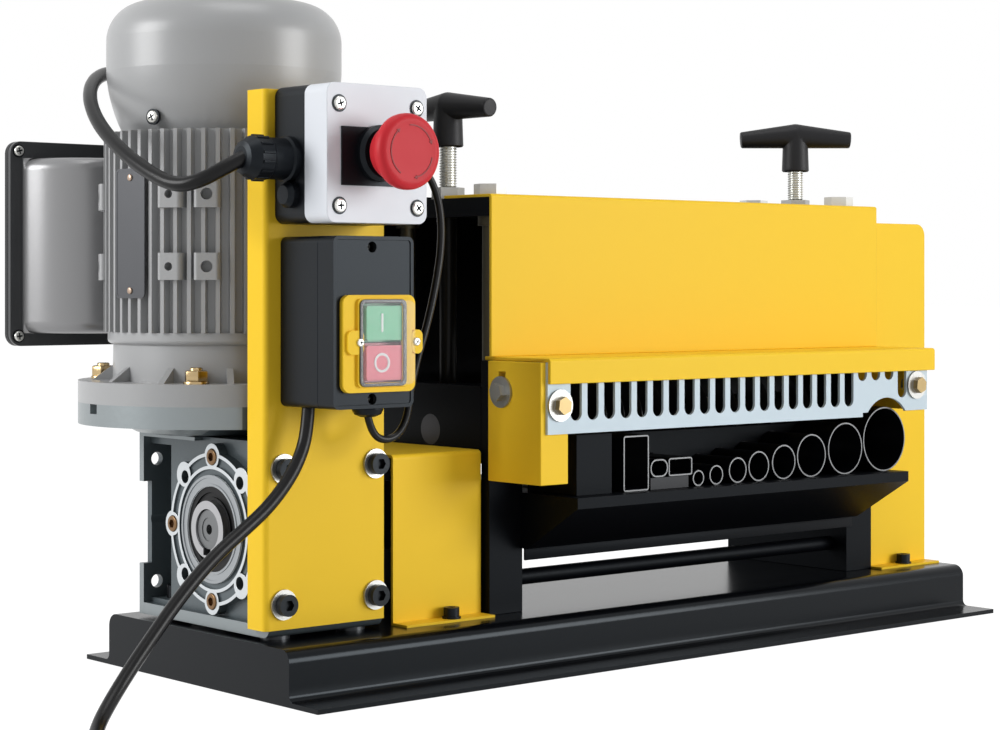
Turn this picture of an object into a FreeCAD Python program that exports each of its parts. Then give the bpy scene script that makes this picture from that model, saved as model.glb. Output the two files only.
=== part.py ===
import FreeCAD, Part
import math
import os

V = FreeCAD.Vector

# All sizes are in mm. X runs along the machine, Y to the back, Z up, and the
# working origin is on the gearbox's output axis. PLACE moves every piece so
# that the origin ends up under the middle of the machine, on the floor.

BASE_LEFT = -50.0
BASE_RIGHT = 568.0
BASE_FRONT = -120.0
BASE_BACK = 136.0
DECK_FRONT = -92.0
DECK_BACK = 108.0
DECK_TOP = -62.0
FLOOR = -95.0
BASE_SHEET = 3.0
SHEET = 2.5

BASE_SCREWS = ((96.0, -61.0), (96.0, 61.0), (534.0, -62.5), (534.0, 62.5))

GEAR_HALF = 36.0
COVER_THICK = 6.5
COVER_FACE = GEAR_HALF + COVER_THICK
FRAME_HALF = GEAR_HALF + 6.0
HOLE_DEEP = 14.0
GEAR_TOP = 55.0
GEAR_FOOT = -60.0
MOTOR_Y = 50.0
FLANGE_R = 92.0
FLANGE_BOLT_R = FLANGE_R - 13.0
FLANGE_SEAM = 75.5
FLANGE_TOP = 89.0
BODY_BOTTOM = 119.4
BODY_TOP = 243.7
BODY_R = 70.0
FIN_R = 76.0
FIN_COUNT = 54
FAN_TOP = 327.2
SHAFT_R = 9.5

WHEEL_TEETH = 30
WHEEL_MODULE = 2.5
WORM_R = 12.5
WHEEL_R = 37.2

POST_FRONT = -63.0
FRAME_LEFT = (128.0, 156.0)
FRAME_RIGHT = (472.0, 500.0)
SCREW_X = (143.0, 483.0)
POST_Y = 43.0
TIE_ROD = (-42.0, -42.5)
LEG_TOP = 100.5
YOKE_TOP = 24.0
PLATE_Z = (193.0, 205.0)
ROLLER_R = 18.0
BLADE_Z = 54.0
BLADE_R = 33.5
BLOCK_Z = (34.0, 84.0)
BLADE_X = (215.6, 236.4, 255.9, 272.7, 289.7, 310.4, 331.1, 356.1, 384.5, 420.0, 462.3)
JOURNAL_R = 10.0
RUN_FIT = 0.05
SCREW_R = 6.0
TEE_TURN = (-88.0, -40.5)
HUB_LEFT = 240.0
HUB_RIGHT = 234.6

SLOT_COUNT = 23
SLOT_FIRST = 155.0
SLOT_PITCH = 14.4
SLOT_WIDE = 9.5
ROUND_TUBES = (
    (272.7, 11.0),
    (289.7, 13.4),
    (310.4, 17.6),
    (331.1, 20.8),
    (356.1, 24.0),
    (384.5, 30.1),
    (420.0, 36.7),
    (462.3, 46.3),
)
TUBE_FLOOR = 15.0
TUBE_FRONT = -104.0
TUBE_BACK = -62.5

MAINS_D = 8.0
LEAD_D = 8.8
LINK_D = 4.6

LEAD_LEFT = -104.0
LEFT_END = LEAD_LEFT - LEAD_D / 2.0
BACK_END = 180.0
FRONT_END = -148.0
PLACE = V(-(BASE_RIGHT + LEFT_END) / 2.0, -(BACK_END + FRONT_END) / 2.0, -FLOOR)


def block(x0, x1, y0, y1, z0, z1):
    return Part.makeBox(x1 - x0, y1 - y0, z1 - z0, V(x0, y0, z0))


def rod_x(r, x0, x1, y, z):
    return Part.makeCylinder(r, x1 - x0, V(x0, y, z), V(1, 0, 0))


def rod_y(r, y0, y1, x, z):
    return Part.makeCylinder(r, y1 - y0, V(x, y0, z), V(0, 1, 0))


def rod_z(r, z0, z1, x, y):
    return Part.makeCylinder(r, z1 - z0, V(x, y, z0), V(0, 0, 1))


def prism_x(points, x0, x1):
    face = Part.Face(Part.makePolygon([V(x0, y, z) for y, z in points + points[:1]]))
    return face.extrude(V(x1 - x0, 0, 0))


def prism_y(points, y0, y1):
    face = Part.Face(Part.makePolygon([V(x, y0, z) for x, z in points + points[:1]]))
    return face.extrude(V(0, y1 - y0, 0))


def prism_z(points, z0, z1):
    face = Part.Face(Part.makePolygon([V(x, y, z0) for x, y in points + points[:1]]))
    return face.extrude(V(0, 0, z1 - z0))


def hexagon(flats, turn=0.0):
    r = flats / 2.0 / math.cos(math.pi / 6)
    return [(r * math.cos(a), r * math.sin(a)) for a in [turn + k * math.pi / 3 for k in range(6)]]


def hex_z(flats, z0, z1, x, y, turn=0.0):
    return prism_z([(x + u, y + v) for u, v in hexagon(flats, turn)], z0, z1)


def hex_y(flats, y0, y1, x, z, turn=0.0):
    return prism_y([(x + u, z + v) for u, v in hexagon(flats, turn)], y0, y1)


def hex_x(flats, x0, x1, y, z, turn=0.0):
    return prism_x([(y + u, z + v) for u, v in hexagon(flats, turn)], x0, x1)


def cut(shape, *tools):
    return shape.cut(list(tools))


def join(*shapes):
    return shapes[0].fuse(list(shapes[1:])).removeSplitter()


def group(shapes):
    return Part.makeCompound(shapes)


def pool(*groups):
    return group([solid for shape in groups for solid in shape.Solids])


def soften(shape, radius, axis, test=None):
    chosen = []
    for edge in shape.Edges:
        if len(edge.Vertexes) != 2 or edge.Curve.TypeId != "Part::GeomLine":
            continue
        run = edge.Vertexes[1].Point.sub(edge.Vertexes[0].Point)
        if abs(getattr(run, axis)) < 0.999 * run.Length:
            continue
        if test is None or test(edge.CenterOfMass):
            chosen.append(edge)
    return shape.makeFillet(radius, chosen)


def outline(steps):
    edges = []
    here = V(steps[0][0], 0, steps[0][1])
    for step in steps[1:]:
        end = V(step[-2], 0, step[-1])
        if len(step) == 4:
            edges.append(Part.Arc(here, V(step[0], 0, step[1]), end).toShape())
        else:
            edges.append(Part.LineSegment(here, end).toShape())
        here = end
    first = V(steps[0][0], 0, steps[0][1])
    if here.sub(first).Length > 1e-6:
        edges.append(Part.LineSegment(here, first).toShape())
    return Part.Face(Part.Wire(edges))


def spin_z(steps, x, y):
    solid = outline(steps).revolve(V(0, 0, 0), V(0, 0, 1), 360)
    solid.translate(V(x, y, 0))
    return solid


def spin_x(steps, y, z):
    solid = outline(steps).revolve(V(0, 0, 0), V(0, 0, 1), 360)
    solid.rotate(V(0, 0, 0), V(0, 1, 0), 90)
    solid.translate(V(0, y, z))
    return solid


def spin_y(steps, x, z):
    solid = outline(steps).revolve(V(0, 0, 0), V(0, 0, 1), 360)
    solid.rotate(V(0, 0, 0), V(1, 0, 0), -90)
    solid.translate(V(x, 0, z))
    return solid


def about_motor(solid, degrees):
    turned = solid.copy()
    turned.rotate(V(0, MOTOR_Y, 0), V(0, 0, 1), degrees)
    return turned


def socket_bolt_z(x, y, z, head_r, head_h, shank_r, deep):
    bolt = rod_z(head_r, z, z + head_h, x, y).fuse(rod_z(shank_r, z - deep, z, x, y))
    return bolt.cut(hex_z(head_r, z + head_h * 0.45, z + head_h + 1, x, y))


def round_corners_box(x0, x1, y0, y1, z0, z1, r, axis):
    return soften(block(x0, x1, y0, y1, z0, z1), r, axis)


def base_tray():
    top_edge = lambda c: c.z > DECK_TOP - 0.1
    outer = soften(block(BASE_LEFT, BASE_RIGHT, DECK_FRONT, DECK_BACK, FLOOR, DECK_TOP), 8.0, "x", top_edge)
    x0 = BASE_LEFT + BASE_SHEET
    x1 = BASE_RIGHT - BASE_SHEET
    y0 = DECK_FRONT + BASE_SHEET
    y1 = DECK_BACK - BASE_SHEET
    top = DECK_TOP - BASE_SHEET
    inner = soften(block(x0, x1, y0, y1, FLOOR - 1, top), 5.0, "x", lambda c: c.z > top - 0.1)
    shell = outer.cut(inner)
    front = block(BASE_LEFT, BASE_RIGHT, BASE_FRONT, y0, FLOOR, FLOOR + BASE_SHEET)
    back = block(BASE_LEFT, BASE_RIGHT, y1, BASE_BACK, FLOOR, FLOOR + BASE_SHEET)
    holes = [rod_z(3.3, top - 1, DECK_TOP + 1, x, y) for x, y in BASE_SCREWS]
    holes += [rod_z(3.3, top - 1, DECK_TOP + 1, x, 68.0) for x in (-24.0, 24.0)]
    tray = join(shell, front, back)
    lip = FLOOR + BASE_SHEET
    tray = soften(tray, 4.0, "x", lambda c: abs(c.z - lip) < 0.1 and (abs(c.y - DECK_FRONT) < 0.1
                                                                       or abs(c.y - DECK_BACK) < 0.1))
    return tray.cut(holes)


def flange_hole_r(side):
    return 4.0 if side < 0 else 3.4


def gearbox_housing():
    top = GEAR_TOP
    foot = GEAR_FOOT
    core = block(-GEAR_HALF, GEAR_HALF, -60, 84, foot, top)
    wide = FRAME_HALF
    front = block(-wide, wide, -60, -52.8, foot, top)
    floor = block(-wide, wide, -60, 84, foot, -52.8)
    roof = block(-wide, wide, 20, 84, 52.8, top)
    rear_low = block(-wide, wide, 79, 84, foot, -28)
    rear_high = block(-wide, wide, 79, 84, 24, top)
    body = join(core, front, floor, roof, rear_low, rear_high)
    pockets = []
    for side in (-1, 1):
        inner = (GEAR_HALF - 24.0) * side
        outer = (FRAME_HALF + 1.0) * side
        x0 = min(inner, outer)
        x1 = max(inner, outer)
        pockets.append(block(x0, x1, 56, 79, -50, 48))
        pockets.append(rod_x(4.0, COVER_FACE * side - 20, COVER_FACE * side + 20, 76, 0))
    for z in (-40.0, 40.0):
        pockets.append(rod_x(4.5, -wide - 3, wide + 3, 73.5, z))
        for x in (-34.0, 34.0):
            pockets.append(rod_y(4.2, -61, -45, x, z))
    for x in (-24.0, 24.0):
        pockets.append(rod_z(3.3, foot - 1, -49, x, 68))
    pockets.append(rod_x(42.0, 19 - GEAR_HALF, GEAR_HALF - 19, 0, 0))
    pockets.append(rod_x(30.0, -GEAR_HALF - 1, GEAR_HALF + 1, 0, 0))
    pockets.append(rod_z(14.0, -52, top + 1, 0, MOTOR_Y))
    pockets.append(block(-14, 14, 30, MOTOR_Y, -40, 40))
    for side in (-1, 1):
        for k in range(8):
            a = math.radians(45 * k)
            y = 44.0 * math.cos(a)
            z = 44.0 * math.sin(a)
            r = 3.05 if k % 2 == 0 else flange_hole_r(side)
            if k % 2:
                y = 42.5 * math.cos(a)
                z = 42.5 * math.sin(a)
            start = GEAR_HALF - HOLE_DEEP if side > 0 else -GEAR_HALF - 1.0
            pockets.append(rod_x(r, start, start + HOLE_DEEP + 1.0, y, z))
    body = body.cut(pockets)
    return soften(body, 6.0, "x", lambda c: c.y < -59 and abs(c.x) < 1)


def output_cover(side):
    parts = [rod_x(46.5, GEAR_HALF, COVER_FACE, 0, 0)]
    holes = [rod_x(26.0, GEAR_HALF - 1, COVER_FACE + 1, 0, 0)]
    for k in range(8):
        a = math.radians(45 * k)
        y = math.cos(a)
        z = math.sin(a)
        parts.append(rod_x(8.2, GEAR_HALF, COVER_FACE, 44.0 * y, 44.0 * z))
        if k % 2 == 0:
            holes.append(rod_x(3.2, GEAR_HALF - 1, COVER_FACE + 1, 44.0 * y, 44.0 * z))
            holes.append(rod_x(5.2, COVER_FACE - 3.5, COVER_FACE + 1, 44.0 * y, 44.0 * z))
        else:
            holes.append(rod_x(flange_hole_r(side), GEAR_HALF - 1, COVER_FACE + 1, 42.5 * y, 42.5 * z))
    groove = rod_x(36.5, COVER_FACE - 1.5, COVER_FACE + 1, 0, 0)
    groove = groove.cut(rod_x(33.0, COVER_FACE - 2, COVER_FACE + 2, 0, 0))
    pocket = rod_x(44.3, COVER_FACE - 1.4, COVER_FACE + 1, 0, 0)
    keep = [rod_x(38.6, COVER_FACE - 2, COVER_FACE + 2, 0, 0)]
    for k in range(8):
        a = math.radians(45 * k)
        keep.append(rod_x(7.3, COVER_FACE - 2, COVER_FACE + 2, 44.0 * math.cos(a), 44.0 * math.sin(a)))
    cover = join(*parts).cut(holes + [groove, pocket.cut(keep)])
    if side < 0:
        cover.rotate(V(0, 0, 0), V(0, 0, 1), 180)
    return cover


def cover_bolts():
    bolts = []
    for side in (-1, 1):
        for k in range(4):
            a = math.radians(90 * k)
            y = 44.0 * math.cos(a)
            z = 44.0 * math.sin(a)
            seat = COVER_FACE - 3.5
            bolt = rod_x(5.0, seat, seat + 4.5, y, z).fuse(rod_x(3.0, GEAR_HALF - 11.0, seat, y, z))
            bolt = bolt.cut(hex_x(5.0, seat + 2.0, seat + 6.0, y, z))
            if side < 0:
                bolt.rotate(V(0, 0, 0), V(0, 0, 1), 180)
            bolts.append(bolt)
    return group(bolts)


def output_seals():
    seals = []
    for side in (-1, 1):
        seal = rod_x(26.0, GEAR_HALF, COVER_FACE - 0.5, 0, 0)
        seal = seal.cut([rod_x(17.55, GEAR_HALF - 1, COVER_FACE, 0, 0)])
        lip = rod_x(22.5, COVER_FACE - 1.5, COVER_FACE + 1, 0, 0)
        lip = lip.cut(rod_x(19.5, COVER_FACE - 2, COVER_FACE + 2, 0, 0))
        seal = seal.cut(lip)
        if side < 0:
            seal.rotate(V(0, 0, 0), V(0, 0, 1), 180)
        seals.append(seal)
    return group(seals)


def output_bearings():
    rings = []
    for x0, x1 in ((-GEAR_HALF, HOLE_DEEP - GEAR_HALF), (GEAR_HALF - HOLE_DEEP, GEAR_HALF)):
        rings.append(rod_x(30.0, x0, x1, 0, 0).cut(rod_x(17.5 + RUN_FIT, x0 - 1, x1 + 1, 0, 0)))
    return group(rings)


def gearbox_washers():
    spots = [(-28.0, -46.0), (28.0, -46.0), (-24.0, 68.0), (24.0, 68.0)]
    return group([
        rod_z(9.0, DECK_TOP, GEAR_FOOT, x, y).cut(rod_z(3.3, DECK_TOP - 1, GEAR_FOOT + 1, x, y)) for x, y in spots
    ])


def gearbox_foot_bolts():
    return group([socket_bolt_z(x, 68.0, -50.0, 6.5, 8.0, 3.0, 10.0) for x in (-24.0, 24.0)])


def input_flange():
    body = spin_z([
        (15, GEAR_TOP), (46, GEAR_TOP), (56, 56.5), (66, 62), (FLANGE_R, 62),
        (FLANGE_R, FLANGE_SEAM), (15, FLANGE_SEAM),
    ], 0, MOTOR_Y)
    body = body.cut(flange_holes(61, 77))
    notch = block(FLANGE_R - 5, FLANGE_R + 1, MOTOR_Y - 4.5, MOTOR_Y + 4.5, FLANGE_SEAM - 6, FLANGE_SEAM + 0.5)
    notch = about_motor(notch, 176)
    return body.cut(notch)


def flange_holes(z0, z1):
    return [about_motor(rod_z(4.5, z0, z1, FLANGE_BOLT_R, MOTOR_Y), 44 + 90 * k) for k in range(4)]


def motor_end_shield():
    core = FLANGE_BOLT_R - 8.6
    shield = spin_z([
        (SHAFT_R + RUN_FIT, FLANGE_SEAM), (FLANGE_R, FLANGE_SEAM), (FLANGE_R, FLANGE_TOP), (core, FLANGE_TOP),
        (core - 0.2, FLANGE_TOP + 11.35), (70, 111.7), (72.5, 112.6, 73.5, 114.5), (73.5, BODY_BOTTOM), (44, BODY_BOTTOM),
        (44, 96), (SHAFT_R + RUN_FIT, 96),
    ], 0, MOTOR_Y)
    webs = []
    for k in range(12):
        web = prism_y([
            (core - 1.4, FLANGE_TOP), (FLANGE_R - 9, FLANGE_TOP), (core + 0.1, FLANGE_TOP + 9),
            (core - 1.4, FLANGE_TOP + 9),
        ], MOTOR_Y - 2, MOTOR_Y + 2)
        webs.append(about_motor(web, 29 + 30 * k))
    return join(shield, *webs).cut(flange_holes(74, 91))


def flange_bolts():
    bolts = []
    for k in range(4):
        bolt = hex_z(13.0, 56.5, 62.0, FLANGE_BOLT_R, MOTOR_Y)
        bolt = bolt.fuse(rod_z(4.0, 62.0, FLANGE_TOP + 10.5, FLANGE_BOLT_R, MOTOR_Y))
        bolts.append(about_motor(bolt, 44 + 90 * k))
    return group(bolts)


def flange_nuts():
    nuts = []
    for k in range(4):
        r = FLANGE_BOLT_R
        z = FLANGE_TOP
        nut = hex_z(13.0, z + 2, z + 9.5, r, MOTOR_Y).fuse(rod_z(8.0, z, z + 2, r, MOTOR_Y))
        nut = nut.cut(rod_z(4.0, z - 1, z + 11, r, MOTOR_Y))
        nuts.append(about_motor(nut, 44 + 90 * k))
    return group(nuts)


def motor_body():
    points = []
    for k in range(FIN_COUNT):
        a = 2 * math.pi * k / FIN_COUNT
        w = math.radians(0.95)
        root = math.radians(1.5)
        for r, t in ((BODY_R, a - root), (FIN_R, a - w), (FIN_R, a + w), (BODY_R, a + root)):
            points.append((r * math.cos(t), MOTOR_Y + r * math.sin(t)))
    body = prism_z(points, BODY_BOTTOM, BODY_TOP)
    adds = [rod_z(60.0, BODY_TOP - 5, 256.0, 0, MOTOR_Y)]
    adds.append(block(-28, 28, 110, 128, 125, 225))
    for z in (151.7, 195.6):
        for az in (228.5, 211.0, 153.0, 135.5):
            boss = block(66, 79, MOTOR_Y - 8, MOTOR_Y + 8, z, z + 16.5)
            boss = soften(boss, 2.5, "z", lambda c: c.x > 70)
            adds.append(about_motor(boss, az))
    body = join(body, *adds)
    holes = [rod_z(45.0, BODY_BOTTOM - 1, 238.0, 0, MOTOR_Y)]
    holes.append(rod_z(54.0, 244.5, 257.0, 0, MOTOR_Y))
    holes.append(rod_z(SHAFT_R + RUN_FIT, 237.0, 246.0, 0, MOTOR_Y))
    for z in (151.7, 195.6):
        for az in (228.5, 211.0, 153.0, 135.5):
            r = 3.6 if az in (228.5, 153.0) else 2.6
            holes.append(about_motor(rod_x(r, 72, 80, MOTOR_Y, z + 8.2), az))
    return body.cut(holes)


def fan_cover():
    shell = spin_z([
        (63.7, BODY_TOP), (70.6, 261.0, 74.4, 282.6), (74.4, 303.0), (68.5, 318.5, 50.0, FAN_TOP),
        (0, FAN_TOP), (0, FAN_TOP - 1.6), (49.5, FAN_TOP - 1.6), (67.2, 317.4, 72.8, 303.0), (72.8, 282.6),
        (69.0, 261.4, 62.1, BODY_TOP),
    ], 0, MOTOR_Y)
    holes = []
    for count, radius in ((6, 12.0), (12, 24.0), (18, 36.0)):
        for k in range(count):
            hole = rod_z(3.0, FAN_TOP - 3, FAN_TOP + 1, radius, MOTOR_Y)
            holes.append(about_motor(hole, 360.0 * k / count))
    holes += [about_motor(rod_x(2.1, 60.0, 70.0, MOTOR_Y, 251.5), 198 + 90 * k) for k in range(4)]
    return shell.cut(holes)


def fan_cover_screws():
    screws = []
    for k in range(4):
        screw = rod_x(4.0, 68.8, 71.3, MOTOR_Y, 251.5).fuse(rod_x(1.8, 60.0, 68.8, MOTOR_Y, 251.5))
        screws.append(about_motor(screw, 198 + 90 * k))
    return group(screws)


def cooling_fan():
    hub = rod_z(14.0, 262.0, 284.0, 0, MOTOR_Y)
    disc = rod_z(50.0, 262.0, 265.0, 0, MOTOR_Y)
    blades = [about_motor(block(10, 49, MOTOR_Y - 1.2, MOTOR_Y + 1.2, 264, 282), 60 * k) for k in range(6)]
    fan = join(hub, disc, *blades)
    return fan.cut(rod_z(SHAFT_R, 261, 285, 0, MOTOR_Y))


def rotor_shaft():
    shaft = rod_z(SHAFT_R, 60.0, 284.0, 0, MOTOR_Y)
    core = rod_z(43.0, 128.0, 228.0, 0, MOTOR_Y)
    return join(shaft, core)


def worm():
    steps = [(0, -48), (8, -48), (8, -34)]
    pitch = math.pi * WHEEL_MODULE
    z = -3.5 * pitch
    for k in range(8):
        steps += [(8, z - 1.9), (WORM_R - 0.6, z - 0.9), (WORM_R - 0.6, z + 0.9), (8, z + 1.9)]
        z += pitch
    steps += [(8, 60), (0, 60)]
    return spin_z(steps, 0, MOTOR_Y)


def worm_wheel():
    shaft = output_shaft()
    points = []
    root = WHEEL_R - 5.2
    for k in range(WHEEL_TEETH):
        a = 2 * math.pi * (k + 0.5) / WHEEL_TEETH
        for r, t in ((root, a - 0.075), (WHEEL_R, a - 0.035), (WHEEL_R, a + 0.035), (root, a + 0.075)):
            points.append((r * math.cos(t), r * math.sin(t)))
    rim = prism_x(points, -13, 13).cut(rod_x(16.5, -14, 14, 0, 0))
    return join(shaft, rim)


def output_shaft():
    shaft = rod_x(17.5, -46, 46, 0, 0).cut(rod_x(12.5, -47, 47, 0, 0))
    return shaft.cut(block(-47, 47, -4, 4, -15.8, 0))


def drive_shaft():
    shaft = rod_x(12.5, -38, 84, 0, 0)
    return shaft.cut(rod_x(3.0, -39, -30, 0, 0))


def shaft_coupling():
    body = rod_x(22.0, 62, 110, 0, 0)
    return body.cut([rod_x(12.5, 61, 84, 0, 0), rod_x(JOURNAL_R, 84, 111, 0, 0)])


def post():
    front = block(-47, 41, POST_FRONT, POST_FRONT + 3, -55, 264)
    side = block(-47, -44, POST_FRONT, -45, -55, 264)
    body = join(front, side)
    body = soften(body, 3.5, "z", lambda c: c.x < -46.9 and c.y < POST_FRONT + 0.1)
    holes = [rod_y(4.5, POST_FRONT - 1, POST_FRONT + 4, x, z) for x in (-34.0, 34.0) for z in (-40.0, 40.0)]
    return body.cut(holes)


def post_washers():
    washers = []
    for x in (-34.0, 34.0):
        for z in (-40.0, 40.0):
            washer = rod_y(9.0, POST_FRONT - 1.6, POST_FRONT, x, z)
            washers.append(washer.cut(rod_y(4.3, POST_FRONT - 3, POST_FRONT + 1, x, z)))
    return group(washers)


def post_bolts():
    bolts = []
    y = POST_FRONT - 1.6
    for x in (-34.0, 34.0):
        for z in (-40.0, 40.0):
            bolt = rod_y(6.5, y - 5.0, y, x, z).fuse(rod_y(4.0, y, -48.0, x, z))
            bolts.append(bolt.cut(hex_y(6.0, y - 6.0, y - 2.0, x, z)))
    return group(bolts)


def hollow_y(x0, x1, y0, y1, z0, z1, r, wall, open_front):
    body = soften(block(x0, x1, y0, y1, z0, z1), r, "y")
    a = y0 - 1 if open_front else y0 + wall
    b = y1 - wall if open_front else y1 + 1
    return body.cut(soften(block(x0 + wall, x1 - wall, a, b, z0 + wall, z1 - wall), max(r - wall, 1.0), "y"))


ES_X = (-40.0, 33.0)
ES_Z = (184.5, 265.0)
ES_SEAM = -93.0
ES_FACE = -115.0
ES_AXIS = (-3.5, 225.0)
SW_X = (-36.0, 22.6)
SW_Z = (77.0, 177.0)
SW_SEAM = -100.6
SW_FACE = -115.0


def estop_rear_housing():
    return hollow_y(ES_X[0], ES_X[1], ES_SEAM, POST_FRONT, ES_Z[0], ES_Z[1], 6.0, 3.0, True)


def estop_lid():
    lid = hollow_y(ES_X[0], ES_X[1], ES_FACE, ES_SEAM, ES_Z[0], ES_Z[1], 6.0, 3.0, False)
    holes = [rod_y(8.0 + RUN_FIT, ES_FACE - 1, ES_FACE + 4, ES_AXIS[0], ES_AXIS[1])]
    holes += [rod_y(2.1, ES_FACE - 1, ES_FACE + 4, x, z) for x, z in estop_screw_spots()]
    return lid.cut(holes)


def estop_screw_spots():
    return [(-31.4, 253.0), (25.2, 252.6), (-31.2, 194.3), (25.6, 193.9)]


def estop_screws():
    screws = []
    for x, z in estop_screw_spots():
        screw = rod_y(4.2, ES_FACE - 1.8, ES_FACE, x, z).fuse(rod_y(2.0, ES_FACE, ES_FACE + 14, x, z))
        screws.append(screw)
    return group(screws)


def estop_legend_plate():
    plate = block(-30, 23, ES_FACE - 1.2, ES_FACE, 206, 240)
    return plate.cut(rod_y(11.0, ES_FACE - 3, ES_FACE + 1, ES_AXIS[0], ES_AXIS[1]))


def estop_collar():
    plate = ES_FACE - 1.2
    bore = 8.0 + RUN_FIT
    ring = spin_y([(bore, plate - 5.8), (14.5, plate - 5.8), (16.5, plate - 3.3), (16.5, plate), (bore, plate)],
                  ES_AXIS[0], ES_AXIS[1])
    neck = rod_y(10.9, plate, ES_FACE, ES_AXIS[0], ES_AXIS[1])
    neck = neck.cut(rod_y(bore, plate - 1, ES_FACE + 1, ES_AXIS[0], ES_AXIS[1]))
    return join(ring, neck)


def estop_plunger():
    x, z = ES_AXIS
    stem = rod_y(8.0, -128, -100, x, z)
    spindle = rod_y(4.0, -138, -128, x, z)
    stop = rod_y(12.0, -110, -107, x, z)
    return join(stem, spindle, stop)


def estop_mushroom():
    head = spin_y([
        (0, -148), (17.5, -147.2), (21.3, -145.6, 22.0, -141.0), (20.4, -132.0), (18.0, -128.0), (0, -128.0),
    ], ES_AXIS[0], ES_AXIS[1])
    return head.cut(rod_y(4.0 + RUN_FIT, -138.0, -127, ES_AXIS[0], ES_AXIS[1]))


def estop_contact_block():
    return block(-16, 9, -90, -66, 210, 240)


LEAD_GLAND = (-78.0, 222.0)
LINK_GLAND_Z = 222.0


def estop_glands():
    y, z = LEAD_GLAND
    x = ES_X[0]
    big = spin_x([(0, x), (13.5, x), (13.5, x - 4), (12.2, x - 5), (12.2, x - 17), (12.8, x - 18),
                  (12.8, x - 27), (9.5, x - 33), (6.5, x - 34), (0, x - 34)], y, z)
    plug = spin_x([(0, x), (7.6, x), (7.6, x - 4), (5.5, x - 7), (0, x - 7)], y - 3, 201.0)
    x = ES_X[1]
    small = spin_x([(0, x), (8.5, x), (8.5, x + 3), (7, x + 4), (7, x + 9), (3.6, x + 13), (0, x + 13)],
                   y - 6, LINK_GLAND_Z)
    return group([big, plug, small])


def switch_rear_housing():
    return hollow_y(SW_X[0], SW_X[1], SW_SEAM, POST_FRONT, SW_Z[0], SW_Z[1], 4.0, 3.0, True)


def switch_cover():
    cover = hollow_y(SW_X[0], SW_X[1], SW_FACE, SW_SEAM, SW_Z[0], SW_Z[1], 4.0, 3.0, False)
    window = block(-17, 17, SW_FACE - 1, SW_FACE + 4, 92, 138)
    holes = [rod_y(2.1, SW_FACE - 1, SW_FACE + 4, x, z) for x, z in switch_screw_spots()]
    return cover.cut([window] + holes)


def switch_screw_spots():
    return [(-7.6, 170.7), (-7.6, 82.5)]


def switch_screws():
    screws = []
    for x, z in switch_screw_spots():
        screws.append(rod_y(3.6, SW_FACE - 1.0, SW_FACE, x, z).fuse(rod_y(2.0, SW_FACE, SW_FACE + 10, x, z)))
    return group(screws)


def switch_bezel():
    y0 = SW_FACE - 3.5
    frame = soften(block(-31.0, 21.5, y0, SW_FACE, 86.5, 142.9), 5.0, "y")
    tabs = []
    for a, b in ((-29.0, -17.5), (17.5, 25.5)):
        tabs.append(soften(block(a, b, y0 - 2.0, SW_FACE, 108.5, 122.5), 3.5, "y"))
    return join(frame, *tabs).cut(block(-17.2, 17.2, y0 - 3, SW_FACE + 1, 92, 138.4))


def bezel_screws():
    y0 = SW_FACE - 5.5
    return group([rod_y(2.4, y0 - 1.2, y0, x, 115.5) for x in (-20.5, 20.8)])


def button(z0, z1, f0, f1):
    cap = soften(block(-15, 15, SW_FACE - 4.5, SW_FACE + 5, z0, z1), 1.5, "y")
    flange = block(-19, 19, SW_FACE + 3.1, SW_FACE + 5, f0, f1)
    return join(cap, flange)


def green_button():
    return button(116.6, 136.6, 115.4, 140.0)


def red_button():
    return button(93.4, 113.6, 90.5, 114.9)


def switch_module():
    return block(-15, 15, -100.0, -66, 90, 140)


def switch_gland():
    x = 8.0
    y = -90.0
    z = SW_Z[0]
    return spin_z([(0, z), (9.5, z), (9.5, z - 2), (8, z - 5), (4.5, z - 6.5), (0, z - 6.5)], x, y)


def coupling_cover():
    x0 = 55.0
    x1 = 126.0
    foot = DECK_TOP + 1.5
    top = 43.5
    outer = block(x0, x1, -54, 54, DECK_TOP, top)
    outer = soften(outer, 3.0, "x", lambda c: c.z > top - 0.1)
    inner = block(x0 - 1, x1 + 1, -52, 52, DECK_TOP - 1, top - 2)
    shell = outer.cut(inner)
    flanges = [block(x0, x1, -68, -52, DECK_TOP, foot), block(x0, x1, 52, 68, DECK_TOP, foot)]
    holes = [rod_z(3.3, DECK_TOP - 1, foot + 1, 96, y) for y in (-61.0, 61.0)]
    return join(shell, *flanges).cut(holes)


def base_screws():
    z = DECK_TOP + 1.5
    screws = []
    for x, y in BASE_SCREWS:
        washer = rod_z(6.0, z, z + 1.2, x, y)
        head = rod_z(5.0, z + 1.2, z + 7.0, x, y)
        shank = rod_z(3.0, z - 6, z + 1.2, x, y)
        screws.append(join(washer, head, shank).cut(hex_z(5.0, z + 4.5, z + 8, x, y)))
    return group(screws)


def side_frame(x0, x1, screw_x):
    yoke = block(x0, x1, -60, 60, DECK_TOP, YOKE_TOP)
    front = block(x0, x1, -60, -52, YOKE_TOP, LEG_TOP)
    rear = block(x0, x1, 52, 60, YOKE_TOP, LEG_TOP)
    body = join(yoke, front, rear)
    holes = [rod_x(16.0, x0 - 1, x1 + 1, 0, 0)]
    holes += [rod_z(5.25, YOKE_TOP - 20, YOKE_TOP + 1, screw_x, y) for y in (-POST_Y, POST_Y)]
    return body.cut(holes)


def tie_rod():
    return rod_x(5.25, FRAME_LEFT[1], FRAME_RIGHT[0], TIE_ROD[0], TIE_ROD[1])


def side_frames():
    left = side_frame(*FRAME_LEFT, SCREW_X[0])
    right = side_frame(*FRAME_RIGHT, SCREW_X[1])
    return group([left, right, tie_rod()])


def roller_bearings():
    rings = []
    for x0, x1 in (FRAME_LEFT, FRAME_RIGHT):
        rings.append(rod_x(16.0, x0, x1, 0, 0).cut(rod_x(JOURNAL_R + RUN_FIT, x0 - 1, x1 + 1, 0, 0)))
    return group(rings)


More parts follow.
